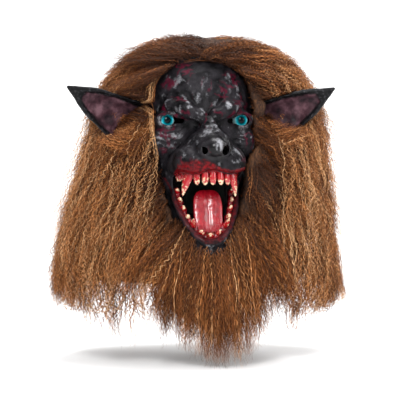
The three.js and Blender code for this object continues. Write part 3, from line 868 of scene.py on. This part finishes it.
def gum_field(p, arch, table, low, high, lumps):
    """A rounded gum band with a collar round each tooth; p in the arch's own frame."""
    (rx, ry), y = arch["radii"], p[..., 1] - arch["centre"]
    k = np.sqrt((p[..., 0] / rx) ** 2 + (y / ry) ** 2)
    ring = (k - 1) * np.hypot(p[..., 0], y) / (k + 1e-6)
    middle, half = (low + high) / 2, (high - low) / 2
    beside, above = np.abs(ring) - 2.6, np.abs(p[..., 2] - middle) - half + 3
    d = np.sqrt(np.clip(beside, 0, None) ** 2 + np.clip(above, 0, None) ** 2) - 3.0
    for node, angle in table.items():
        origin, _ = arch_place(angle, arch, False)
        bulge = 7.4 if "fang" in node else 5.6
        top = low if arch is UPPER_ARCH else high
        d = join(d, ball(p, (origin[0], origin[1], top), (bulge, bulge, 4.6)), 3)
    return d + (fbm(p, 5.0, 2) - 0.5) * lumps


def gums(material):
    step = 1.2

    def upper(p):
        d = gum_field(p, UPPER_ARCH, UPPER_TEETH, -184.0, -170.0, 1.6)
        inside_skin = head_form(p) + 0.6
        return np.maximum(np.maximum(d, inside_skin), p[..., 1] + 101)

    verts, quads = drop_loose(*surface(upper, (-50, -164, -191), (50, -98, -166), step))
    obj = mesh_object("upper_gum_look", relax(verts, quads, 2), quads)
    dress(obj, material, "head", "gum_red", "upper_gum")

    def lower(p):
        d = gum_field(p, LOWER_ARCH, LOWER_TEETH, -10.0, 0.5, 1.6)
        return np.maximum(np.maximum(d, ball(p, (0, 0, 0), JAW_RADII) + SKIN - 1), p[..., 1] + 26)

    verts, quads = drop_loose(*surface(lower, (-52, -122, -16), (52, -22, 8), step))
    obj = mesh_object("lower_gum_look", from_jaw(relax(verts, quads, 2)), quads)
    dress(obj, material, "jaw", "gum_red", "lower_gum")


def tongue(material):
    def field(p):
        c, s = math.cos(math.radians(19)), math.sin(math.radians(19))
        q = p - np.array([0, -70, 5], np.float32)
        t = np.stack([q[..., 0], c * q[..., 1] + s * q[..., 2], -s * q[..., 1] + c * q[..., 2]], -1)
        lift = 2.2 * (t[..., 0] / 20) ** 2 - 1.5 * np.exp(-(t[..., 0] / 3.2) ** 2)
        bent = np.stack([t[..., 0], t[..., 1], t[..., 2] - lift], -1)
        flat = np.sqrt(np.abs(bent[..., 0] / 20.5) ** 3.2 + np.abs((bent[..., 1] - 1.5) / 32) ** 3.2 + 1e-6)
        thick = 5.5 * np.sqrt(np.clip(1.15 - flat ** 2, 0, 1))
        blade = np.maximum((flat - 1) * 18, np.abs(bent[..., 2]) - thick)
        root = ball(p, (0, -76, -8), (16, 9, 9))
        return join(blade, root, 5)

    verts, quads = drop_loose(*surface(field, (-26, -106, -20), (26, -34, 26), 1.0))
    verts = relax(verts, quads, 3)
    verts[:, 2] += (fbm(verts, 6.0, 2) - 0.5) * 1.0
    obj = mesh_object("tongue_look", from_jaw(verts), quads)
    dress(obj, material, "jaw", "tongue_red", "tongue")


def eyes(material):
    for side, node in ((-1, "eye_right"), (1, "eye_left")):
        around, rings = 64, 40
        turn = np.linspace(0, 2 * math.pi, around, endpoint=False)
        open_angle = np.linspace(0.02, math.radians(105), rings)
        ring = np.repeat(open_angle[:, None], around, 1)
        spin = np.repeat(turn[None], rings, 0)
        centre = EYE * np.array([side, 1, 1])
        local = np.stack([np.sin(ring) * np.cos(spin), -np.cos(ring), np.sin(ring) * np.sin(spin)], -1)
        points = (centre + local * EYE_R).reshape(-1, 3)[::-1]
        out = np.clip(np.sin(ring) / math.sin(math.radians(60)), 0, 1).reshape(-1)[::-1]
        out = np.where(ring.reshape(-1)[::-1] > math.radians(60), 1, out)
        turned = np.cos(spin * 9).reshape(-1)[::-1] * 2
        obj = capped(node + "_look", points, around, rings, {"out": out, "turn": turned})
        dress(obj, material, "head", "eye_acrylic", node)


# ------------------------------------------------------------------ ears

def ear_frame(side):
    """Origin and axes (across, behind, along) of an ear."""
    root, tip = (v * np.array([side, 1, 1]) for v in (EAR_ROOT, EAR_TIP))
    along = (tip - root) / np.linalg.norm(tip - root)
    behind = np.array([0, 1.0, 0]) - along[1] * along
    behind /= np.linalg.norm(behind)
    return root, np.array([np.cross(behind, along), behind, along])


def ear_field(p):
    half = at(EAR_OUTLINE, p[..., 2])[0]
    wave = 1 + 0.05 * np.sin(p[..., 2] / 13)
    outline = np.sqrt((p[..., 0] / wave) ** 2 + (p[..., 1] / 0.5) ** 2) - half
    leaf = outline * 0.5
    hollow = (np.sqrt(p[..., 0] ** 2 + ((p[..., 1] + 9) / 0.72) ** 2) - (half - 3.2)) * 0.72
    hollow = np.maximum(hollow, 6 - p[..., 2])
    body = carve(leaf, hollow, 2.5)
    return np.maximum(np.maximum(body, p[..., 2] - 134), -p[..., 2] - 13)


def ears(material):
    step = 1.3
    for side, node in ((-1, "ear_right"), (1, "ear_left")):
        verts, quads = drop_loose(*surface(ear_field, (-42, -24, -16), (42, 24, 137), step))
        verts = relax(verts, quads, 2)
        half = at(EAR_OUTLINE, verts[:, 2])[0]
        normals = normals_of(verts, quads)
        inner = (np.sqrt(verts[:, 0] ** 2 + ((verts[:, 1] + 9) / 0.72) ** 2) - (half - 3.2)) < 0.3
        inner &= (np.abs(verts[:, 0]) < half - 8) & (verts[:, 2] < 106)
        inner &= (verts[:, 2] > 3) & (normals[:, 1] < 0.3)
        ribs = 1.3 * np.sin(verts[:, 2] / 4.6 + verts[:, 0] / 7) * inner * np.clip(verts[:, 2] / 25, 0, 1)
        verts = verts + normals * (ribs * 0.5 + (fbm(verts, 9.0, 3) - 0.5) * 2.0)[:, None]
        origin, axes = ear_frame(side)
        world = origin + verts @ axes
        soft = inner.astype(float)
        for _ in range(3):
            soft = 0.5 * soft + 0.5 * spread(soft, quads, len(verts))
        if np.linalg.det(axes) < 0:
            quads = quads[:, ::-1]
        obj = mesh_object(node + "_look", world, quads, {"inside": soft})
        dress(obj, material, node, "latex_black", node)


def spread(values, quads, count):
    total, hits = np.zeros(count), np.zeros(count)
    for k in range(4):
        for m in (1, 3):
            total += np.bincount(quads[:, k], values[quads[:, (k + m) % 4]], count)
            hits += np.bincount(quads[:, k], minlength=count)
    return total / np.maximum(hits, 1)


# ------------------------------------------------------------------ fur

# the head under the fur: z, half width, depth in front of its middle
HEAD_SECTION = ((5, 4, 4), (2, 22, 26), (-8, 42, 52), (-20, 58, 72), (-50, 80, 98), (-100, 91, 113),
                (-150, 86, 108), (-200, 80, 100), (-250, 76, 84), (-300, 79, 80))
HAIRLINE_Z = -22.0
WAVE = 4.0
PELT = np.array(ENVELOPE, float)
PELT_RUN = np.concatenate([[0], np.cumsum(np.hypot(np.diff(PELT[:, 0]), np.diff(PELT[:, 1])))])
FLARE_RUN = np.interp(170.0, -PELT[:, 0], PELT_RUN)
CROWN_RUN = 95.0


def pelt_row(run):
    return [np.interp(run, PELT_RUN, PELT[:, k]) for k in range(4)]


def pelt(angle, run, inset):
    """Point at an angle from the front (positive to +X) and a run from the crown, inset into the pelt."""
    z, half, depth, cx = pelt_row(run)
    z2, half2, _, _ = pelt_row(np.clip(run + 6, 0, PELT_RUN[-1]))
    z1, half1, _, _ = pelt_row(np.clip(run - 6, 0, PELT_RUN[-1]))
    dr, dz = half2 - half1, z2 - z1
    size = np.hypot(dr, dz) + 1e-6
    out, up = -dz / size, dr / size
    x = cx + (half - inset * out) * np.sin(angle)
    y = ENVELOPE_Y - (depth - inset * out) * np.cos(angle)
    beyond = np.clip(run - PELT_RUN[-1], 0, None)
    return np.stack([x, y, z - inset * up - beyond], -1)


def run_at(z):
    return np.interp(-np.asarray(z), -PELT[:, 0], PELT_RUN)


def window_half(p, slack=0.0):
    """How far a point lies outside the bare face's outline, which opens towards the front."""
    out = np.clip(ball(p, (0, -30, -140), (90, 112, 150)), 0, 200)
    grow = 1 + 0.0012 * out
    z = -150 + (p[..., 2] + 150) / grow
    return np.abs(p[..., 0]) / grow - at(FACE_WINDOW, z)[0] - slack


def envelope_field(p):
    half, depth, cx = at(ENVELOPE, p[..., 2])
    k = np.sqrt(((p[..., 0] - cx) / half) ** 2 + ((p[..., 1] - ENVELOPE_Y) / depth) ** 2)
    side = (k - 1) * np.minimum(half, depth)
    return np.maximum(np.maximum(side, p[..., 2] - 22), -358 - p[..., 2])


def fur_core(material):
    def field(p):
        depth = np.clip((4 - p[..., 2]) / 50, 0.1, 1)
        lumps = (fbm(p, 40.0, 2) - 0.5) * 14
        d = envelope_field(p) + (19 + lumps) * depth
        d = np.maximum(d, 2.5 - head_form(p))
        window = np.maximum(np.maximum(window_half(p, 3.0), p[..., 1] + 20), p[..., 2] - HAIRLINE_Z)
        d = carve(d, window, 6)
        neck = (np.sqrt((p[..., 0] / 80) ** 2 + ((p[..., 1] - 4) / 80) ** 2) - 1) * 80
        d = np.maximum(d, -np.maximum(neck, p[..., 2] + 150))
        wide = 86 + (156 - 86) * np.clip((-285 - p[..., 2]) / 86, 0, 1.2)
        cone = (np.sqrt((p[..., 0] / wide) ** 2 + ((p[..., 1] - 4) / (0.72 * wide)) ** 2) - 1) * 0.72 * wide
        d = np.maximum(d, -np.maximum(cone, p[..., 2] + 285))
        for side in (-1, 1):
            origin, axes = ear_frame(side)
            e = (p - origin.astype(np.float32)) @ axes.T.astype(np.float32)
            slot = np.maximum(np.abs(e[..., 0]) - at(EAR_OUTLINE, e[..., 2])[0] - 4, np.abs(e[..., 1]) - 22)
            d = np.maximum(d, -np.maximum(slot, -16 - e[..., 2]))
        return d

    verts, quads = drop_loose(*surface(field, (-216, -136, -372), (238, 166, 18), 3.6))
    verts = relax(verts, quads, 2)
    normals = normals_of(verts, quads)
    verts = verts + normals * ((fbm(verts, 7.0, 2) - 0.5) * 6)[:, None]
    obj = mesh_object("under_fur", verts, quads)
    dress(obj, material, "head", "fur_brown", "crown_fur", "mane_right", "mane_left", "nape_fur")


def bezier(a, b, c, d, steps):
    t = np.linspace(0, 1, steps + 1)[None, :, None]
    a, b, c, d = (p[:, None] for p in (a, b, c, d))
    return ((1 - t) ** 3) * a + 3 * t * (1 - t) ** 2 * b + 3 * t * t * (1 - t) * c + t ** 3 * d


def unit(v):
    return v / (np.linalg.norm(v, axis=-1, keepdims=True) + 1e-9)


class Strands:
    """Collects hair centre lines and turns them into closed three-sided tubes."""

    def __init__(self):
        self.lines, self.radii, self.own = [], [], []

    def add(self, lines, radius, own):
        self.lines.append(lines)
        self.radii.append(np.broadcast_to(radius, lines.shape[0]))
        self.own.append(own)

    def build(self, prefix, material, body, per_piece, *replaced):
        number = 0
        for lines, radii, own in zip(self.lines, self.radii, self.own):
            order = np.argsort(np.arctan2(lines[:, -1, 0], -lines[:, -1, 1]), kind="stable")
            for start in range(0, len(lines), per_piece):
                pick = order[start:start + per_piece]
                number += 1
                obj = tube_mesh(f"{prefix}_{number:02d}", lines[pick], radii[pick], own[pick])
                dress(obj, material, body, "fur_brown", *replaced)


def tube_mesh(name, lines, radii, own):
    n, k = lines.shape[:2]
    tangent = unit(np.gradient(lines, axis=1))
    soft = tangent.copy()
    for _ in range(2):
        soft[:, 1:-1] = unit(soft[:, :-2] + soft[:, 1:-1] + soft[:, 2:])
    reference = unit(RNG.normal(size=(n, 1, 3)) + np.array([0, -1.2, 0.3]))
    first = unit(np.cross(soft, reference))
    second = np.cross(soft, first)
    t = np.linspace(0, 1, k)
    taper = np.interp(t, [0, 0.08, 0.6, 1], [0.5, 1, 0.85, 0.12])
    width = radii[:, None] * taper[None]
    rings = []
    for m in range(3):
        turn = 2 * math.pi * m / 3
        rings.append(lines + width[..., None] * (math.cos(turn) * first + math.sin(turn) * second))
    verts = np.stack(rings, 2).reshape(-1, 3)
    ring = np.arange(n * k).reshape(n, k) * 3
    faces = []
    low, up = ring[:, :-1].ravel(), ring[:, 1:].ravel()
    for m in range(3):
        r = (m + 1) % 3
        faces.append(np.stack([low + m, low + r, up + r], 1))
        faces.append(np.stack([low + m, up + r, up + m], 1))
    root, tip = ring[:, 0], ring[:, -1]
    faces.append(np.stack([root + 2, root + 1, root], 1))
    faces.append(np.stack([tip, tip + 1, tip + 2], 1))
    faces = np.concatenate(faces)
    obj = mesh_object(name, verts, faces)
    layer = obj.data.uv_layers.new(name="OFBake")
    index = np.empty(len(obj.data.loops), np.int32)
    obj.data.loops.foreach_get("vertex_index", index)
    line = index // (3 * k)
    place = (index // 3) % k
    uv = np.stack([np.clip(own[line], 0.02, 0.98), 0.02 + 0.96 * t[place]], 1)
    layer.data.foreach_set("uv", uv.astype(np.float32).ravel())
    return obj


def clear_of_face(lines, slack):
    """Moves hair sideways out of the bare face and behind the ears."""
    slack = slack[:, None]
    inside = window_half(lines, slack)
    front = (lines[..., 1] < -20) & (lines[..., 2] < HAIRLINE_Z) & (inside < 0)
    side = np.where(lines[..., 0] < 0, -1, 1)
    lines[..., 0] -= np.where(front, side * inside * 1.02, 0)
    for hand in (-1, 1):
        origin, axes = ear_frame(hand)
        e = (lines - origin) @ axes.T
        half = at(EAR_OUTLINE, e[..., 2])[0] + 5
        bare = 30 + 0.25 * hand * e[..., 0]
        near = (np.abs(e[..., 0]) < half) & (e[..., 2] > bare) & (e[..., 2] < 150) & (np.abs(e[..., 1]) < 70)
        depth = 12 + slack * 0.5
        fade = np.clip((half - np.abs(e[..., 0])) / 10, 0, 1)
        target = np.maximum(e[..., 1], depth)
        e[..., 1] = np.where(near, e[..., 1] + (target - e[..., 1]) * fade, e[..., 1])
        lines = np.where(near[..., None], origin + e @ axes, lines)
    return lines


def locks(root, out, down, end, count, spreads, length, radius, colour, wild=1.0, together=0.0):
    """Crimped strand lines for a set of clumps given by their Bezier points."""
    clumps = len(root)
    steps = max(8, int(length / WAVE))
    every = np.repeat(np.arange(clumps), count)
    n = len(every)
    shift = RNG.normal(size=(n, 3))
    shift /= np.maximum(np.linalg.norm(shift, axis=1, keepdims=True), 1)
    points = [p[every] + shift * spread for p, spread in zip((root, out, down), spreads)]
    short = RNG.uniform(0.78, 1.0, (n, 1))
    tip = end[every] + shift * spreads[3]
    tip = down[every] + (tip - down[every]) * short
    lines = bezier(*points, tip, steps)
    t = np.linspace(0, 1, steps + 1)[None]
    tangent = unit(np.gradient(lines, axis=1))
    shared = unit(RNG.normal(size=(clumps, 3)))[every]
    way = shared * together + unit(RNG.normal(size=(n, 3))) * (1 - together)
    across = unit(np.cross(tangent, way[:, None]))
    own_beat = RNG.integers(0, 2, n) * (RNG.random(n) > together)
    beat = (-1.0) ** (np.arange(steps + 1)[None] + own_beat[:, None])
    strength = RNG.uniform(1.1, 2.4, (n, 1)) * np.clip(t * 6, 0, 1)
    lines = lines + across * (beat * strength)[..., None]
    sway = RNG.uniform(0, 2 * math.pi, (clumps, 2))[every] + RNG.normal(size=(n, 2)) * 0.35
    swing = RNG.uniform(2.0, 5.0, (n, 1)) * wild * t
    other = np.cross(tangent, across)
    lines = lines + across * (swing * np.sin(2 * math.pi * t * length / 75 + sway[:, :1]))[..., None]
    lines = lines + other * (swing * 0.7 * np.sin(2 * math.pi * t * length / 52 + sway[:, 1:]))[..., None]
    own = np.clip(colour[every] + RNG.normal(size=n) * 0.15, 0, 1)
    return lines, radius * RNG.uniform(0.75, 1.25, n), own


def off_the_face(points, slack=1.0):
    return ~((points[:, 1] < -20) & (points[:, 2] < HAIRLINE_Z) & (window_half(points, slack) < 0))


def coat_locks(clumps, count, length, inset, reach, radius, spreads, shade, until=PELT_RUN[-1] - 20):
    """Locks that start inside the pelt, follow its surface downwards and end in front of it."""
    run = RNG.uniform(0, until, clumps * 6)
    wide = pelt_row(run)[1]
    run = run[RNG.random(len(run)) < np.maximum(wide, 75) / 192]
    angle = RNG.uniform(-math.pi, math.pi, len(run))
    keep = np.flatnonzero(off_the_face(pelt(angle, run, inset)))[:clumps]
    run, angle = run[keep], angle[keep]
    n = len(run)
    z, half, _, _ = pelt_row(run)
    long = length * RNG.uniform(0.75, 1.2, n)
    front = np.clip(1.45 - np.abs(angle), 0, 1) * np.clip((z + 330) / 220, 0, 1)
    side = np.where(angle < 0, -1, 1)
    turn = side * front * long * 0.8 / np.maximum(half, 60) + RNG.normal(size=n) * 0.17
    fall = long * (1 - 0.45 * front)
    hem = PELT_RUN[-1] + 62 * np.clip(np.cos(angle), 0, 1) ** 0.8 + RNG.uniform(-30, 14, n)
    fall = np.minimum(fall, hem - run)
    flare = np.where(side > 0, 38, 22) * np.abs(np.sin(angle)) ** 2
    stops = []
    for share, low, high in ((0, inset * 0.8, inset * 1.2), (0.3, 1, 9), (0.66, -3, 5), (1, -reach, 3)):
        off = flare * np.clip((run + fall * share - FLARE_RUN) / (PELT_RUN[-1] - FLARE_RUN), 0, 1.2) ** 1.5
        stops.append(pelt(angle + turn * share, run + fall * share, RNG.uniform(low, high, n) - off))
    clear = np.all([off_the_face(stop, 1.0) for stop in stops], axis=0)
    stops = [stop[clear] for stop in stops]
    tone = np.clip(RNG.normal(shade, 0.17, len(stops[0])) + 0.10 * (fbm(stops[1], 60.0, 2) - 0.5) * 4, 0, 1)
    # painted shade: locks darken towards the edge of the bare face, where shade falls
    beside = np.min([np.where(stop[:, 1] < 0, window_half(stop), 100) for stop in stops[1:]], axis=0)
    tone *= 1 - 0.9 * np.exp(-np.clip(beside, 0, 100) / 20)
    lines, width, own = locks(*stops, count, spreads, length, radius, tone, wild=1.5, together=0.6)
    return clear_of_face(lines, RNG.uniform(0, 16, len(lines))), width, own


def flyaways(count, radius):
    """Single fine hairs that stand off the sides of the mane."""
    run = RNG.uniform(run_at(-20), PELT_RUN[-1], count)
    angle = RNG.uniform(0.5, 2.6, count) * np.where(RNG.random(count) < 0.5, -1, 1)
    long = RNG.uniform(70, 150, count)
    low = np.clip((run - FLARE_RUN) / (PELT_RUN[-1] - FLARE_RUN), 0, 1)
    off = RNG.uniform(2, 34, count) * np.clip((run - run_at(-20)) / 60, 0.25, 1) * (1 - 0.4 * low)
    off = off + low * np.where(angle > 0, 22, 10)
    end_run = np.minimum(run + long, PELT_RUN[-1] + 4)
    stops = [pelt(angle, run, 6.0), pelt(angle, run + long * 0.25, -off * 0.5),
             pelt(angle, np.minimum(run + long * 0.6, PELT_RUN[-1]), -off), pelt(angle, end_run, -off * 0.8)]
    tone = RNG.uniform(0.6, 1.0, count)
    lines, width, own = locks(*stops, 1, (2, 5, 6, 6), 110, radius, tone, wild=1.6)
    return clear_of_face(lines, RNG.uniform(2, 9, len(lines))), width, own


def ear_tufts(clumps, count, radius):
    """Short hair that lies over the lower part of each ear's root."""
    points = [[], [], [], []]
    for side in (-1, 1):
        origin, axes = ear_frame(side)
        n = clumps // 2
        a = RNG.uniform(-24, 36, n)
        longer = 1.25 if side > 0 else 1.0
        along = np.clip(20 + 0.95 * (a + 24), 20, 72) * RNG.uniform(0.45, 1.0, n) * longer
        rows = ((a * 0.9, -18, -10), (a, -30, along * 0.25), (a + 3, -30, along * 0.7), (a + 12, -22, along))
        for stop, (across, behind, out) in zip(points, rows):
            local = np.stack([side * np.broadcast_to(across, n), np.full(n, float(behind)),
                              np.broadcast_to(out, n)], 1)
            stop.append(origin + local @ axes)
    stops = [np.concatenate(stop) for stop in points]
    tone = np.clip(RNG.normal(0.5, 0.15, len(stops[0])), 0, 1)
    return locks(*stops, count, (5, 5, 5, 4), 50, radius, tone, wild=0.5)


def hairline_locks(clumps, count, radius):
    """Shorter locks that spring from the edge of the face and lie back over the mane."""
    side = np.where(RNG.random(clumps) < 0.5, -1, 1)
    z = RNG.uniform(-285, -31, clumps)
    top = RNG.random(clumps) < 0.32
    x = at(FACE_WINDOW, z)[0] + RNG.uniform(0, 8, clumps)
    x = np.where(top, RNG.uniform(-4, 62, clumps), x)
    z = np.where(top, -22 + RNG.uniform(-3, 12, clumps) - 0.0050 * x ** 2, z)
    half, depth = at(HEAD_SECTION, z)
    y = -5 - depth * np.sqrt(np.clip(1 - (x / half) ** 2, 0, 1))
    root = np.stack([side * x, y - 1, z], 1)
    reach = RNG.uniform(55, 115, clumps)
    fall = np.where(top, RNG.uniform(-0.35, 0.25, clumps), RNG.uniform(0.35, 1.1, clumps))
    fall = np.where(z > -80, fall * 0.5, fall)
    way = unit(np.stack([side * np.where(top, 0.35 + x / 70, 1.0), np.where(top, 0.35, 0.25), -fall], 1))
    end = root + way * reach[:, None]
    end[:, 2] = np.minimum(end[:, 2], 12)
    rise = np.where(top, 12, 34) * RNG.uniform(0.5, 1.1, clumps)
    out = root + np.stack([side * 5, -rise, np.where(top, 15, 2)], 1)
    lift = np.stack([np.zeros(clumps), -rise * 0.9, np.full(clumps, 4)], 1)
    down = root + way * (reach * 0.6)[:, None] + lift
    # painted shade: these locks at the edge of the face get a dark tone for the shade there
    colour = np.clip(RNG.normal(0.15, 0.14, clumps), 0, 1)
    lines, width, own = locks(root, out, down, end, count, (5, 6, 8, 6), 92, radius, colour)
    return clear_of_face(lines, RNG.uniform(0, 5, len(lines))), width, own


# the tips of the beard: x, z
BEARD_EDGE = ((-135, -356), (-100, -384), (-58, -415), (-20, -446), (12, -462), (45, -456),
              (75, -436), (110, -402), (140, -366))
# half width of the under-beard: z, half width
BEARD_CORE = ((-290, 26), (-300, 34), (-345, 70), (-365, 60), (-392, 30), (-410, 6), (-416, 1))


def beard_locks(clumps, count, radius):
    x_end = RNG.normal(4, 64, clumps).clip(-132, 136)
    low = np.interp(x_end, *np.array(BEARD_EDGE, float).T)
    z_end = low + np.abs(RNG.normal(0, 28, clumps)) + 1
    z_end = np.minimum(z_end, -325)
    x_root = np.clip(x_end * 0.42 + RNG.normal(0, 12, clumps), -62, 62)
    z_root = -279 + 0.62 * np.abs(x_root) + RNG.uniform(-10, 8, clumps)
    y_root = RNG.uniform(-130, -92, clumps) + 0.25 * np.abs(x_root)
    root = np.stack([x_root, y_root, z_root], 1)
    y_end = -118 - 22 * np.sqrt(np.clip(1 - (x_end / 135) ** 2, 0, 1)) * RNG.uniform(-0.6, 1.0, clumps)
    end = np.stack([x_end, y_end, z_end], 1)
    out = root + np.stack([(x_end - x_root) * 0.25, np.full(clumps, -22.0), np.full(clumps, -8.0)], 1)
    down = root + (end - root) * np.array([0.8, 0.55, 0.62]) + np.stack(
        [np.zeros(clumps), -RNG.uniform(4, 20, clumps), np.zeros(clumps)], 1)
    colour = np.clip(RNG.normal(0.42, 0.18, clumps), 0, 1)
    return locks(root, out, down, end, count, (7, 9, 9, 6), 130, radius, colour, wild=1.1, together=0.85)


def beard_core(material):
    def field(p):
        half = at(BEARD_CORE, p[..., 2])[0]
        k = np.sqrt((p[..., 0] / half) ** 2 + ((p[..., 1] + 114) / (0.22 * half + 3)) ** 2)
        d = (k - 1) * (0.22 * half + 3) + 2 + (fbm(p, 22.0, 2) - 0.5) * 12
        return np.maximum(d, np.abs(p[..., 2] + 370) - 76)

    verts, quads = drop_loose(*surface(field, (-118, -158, -452), (118, -70, -290), 3.6))
    obj = mesh_object("under_beard", relax(verts, quads, 2), quads)
    dress(obj, material, "head", "fur_brown", "beard_fur")


def fur(material, core):
    fur_core(core)
    beard_core(core)
    thin = 1.0
    fibre = 0.5
    mane = Strands()
    mane.add(*coat_locks(int(980 * thin), 8, 84, 17, 4, fibre, (10, 8, 8, 8), 0.47))
    mane.add(*coat_locks(int(660 * thin), 8, 104, 12, 10, fibre * 0.9, (9, 7, 6, 6), 0.58))
    mane.add(*coat_locks(int(190 * thin), 8, 70, 8, 4, fibre * 0.9, (9, 8, 6, 6), 0.46, until=CROWN_RUN))
    mane.add(*hairline_locks(int(240 * thin), 9, fibre * 0.9))
    mane.add(*ear_tufts(int(150 * thin), 8, fibre * 0.8))
    mane.add(*flyaways(int(1900 * thin), 0.3))
    mane.build("mane_locks", material, "head", 800)
    beard = Strands()
    beard.add(*beard_locks(int(330 * thin), 9, fibre))
    beard.build("beard_locks", material, "head", 900)


# ------------------------------------------------------------------ carried-over nodes, set and light

def soft_cloth_nodes():
    """Sewn hood and mouth mesh keep their CAD solids and take a fabric."""
    hood = cloth_material("hood_fabric", (0.006, 0.005, 0.005), (0.030, 0.026, 0.023), 160.0, 0.25)
    mesh = cloth_material("mouth_mesh", (0.0003, 0.0007, 0.0004), (0.002, 0.004, 0.003), 260.0, 0.0)
    for node, material in (("wig_cap", hood), ("mouth_screen", mesh)):
        obj = bpy.data.objects[node]
        obj.data.materials.clear()
        obj.data.materials.append(material)


def set_and_light():
    floor_z = CAD_BOX[0][2] - 0.002
    verts, quads = [], []
    cove = np.linspace(0, 1.5708, 16)
    profile = [(-9.0, 0.0)] + [(1.2 + 0.9 * math.sin(a), 0.9 - 0.9 * math.cos(a)) for a in cove]
    profile.append((2.1, 4.0))
    for y, z in profile:
        for x in (-9.0, 9.0):
            verts.append((x * 1000, y * 1000, (z + floor_z) * 1000))
    for k in range(len(profile) - 1):
        quads.append((2 * k, 2 * k + 1, 2 * k + 3, 2 * k + 2))
    sweep = mesh_object("paper_sweep", np.array(verts), np.array(quads))
    sweep.data.materials.append(plain_material("paper", (0.93, 0.93, 0.93), 0.9))
    area("key", (-0.75, -2.15, 1.05), 74, 0.8)
    area("fill", (1.8, -1.7, 0.6), 28, 1.2)
    area("top", (0.1, 0.2, 1.9), 46, 1.2)
    area("kicker", (1.5, 1.0, 0.7), 22, 0.8)
    world = bpy.data.worlds.new("studio")
    bpy.context.scene.world = world
    world.use_nodes = True
    world.node_tree.nodes["Background"].inputs["Color"].default_value = (1, 1, 1, 1)
    world.node_tree.nodes["Background"].inputs["Strength"].default_value = 0.5
    bpy.context.scene.view_settings.view_transform = "Standard"


def area(name, place, power, size):
    lamp = bpy.data.lights.new(name, "AREA")
    lamp.energy = power
    lamp.size = size
    obj = bpy.data.objects.new(name, lamp)
    obj.location = place
    obj.rotation_euler = (Vector((0, -0.1, -0.2)) - Vector(place)).to_track_quat("-Z", "Y").to_euler()
    bpy.context.scene.collection.objects.link(obj)


def camera():
    back = Vector((-0.191, -0.981, 0.035)).normalized()
    target = Vector((-0.0076, -0.100, -0.221))
    data = bpy.data.cameras.new("camera")
    data.lens = 141.0
    data.sensor_width = 36.0
    data.clip_end = 20
    obj = bpy.data.objects.new("camera", data)
    obj.location = target + back * 2.2
    obj.rotation_euler = (-back).to_track_quat("-Z", "Y").to_euler()
    bpy.context.scene.collection.objects.link(obj)
    bpy.context.scene.camera = obj


face_skin(latex_material())
gums(wet_material("gum", (0.035, 0.0008, 0.002), (0.24, 0.004, 0.010), 160.0, 0.24))
tongue(wet_material("tongue", (0.12, 0.0012, 0.005), (0.30, 0.004, 0.011), 120.0, 0.18))
teeth(tooth_material())
eyes(eye_material())
ears(ear_material())
soft_cloth_nodes()
fur(fur_material("fur"), core_material())
set_and_light()
camera()
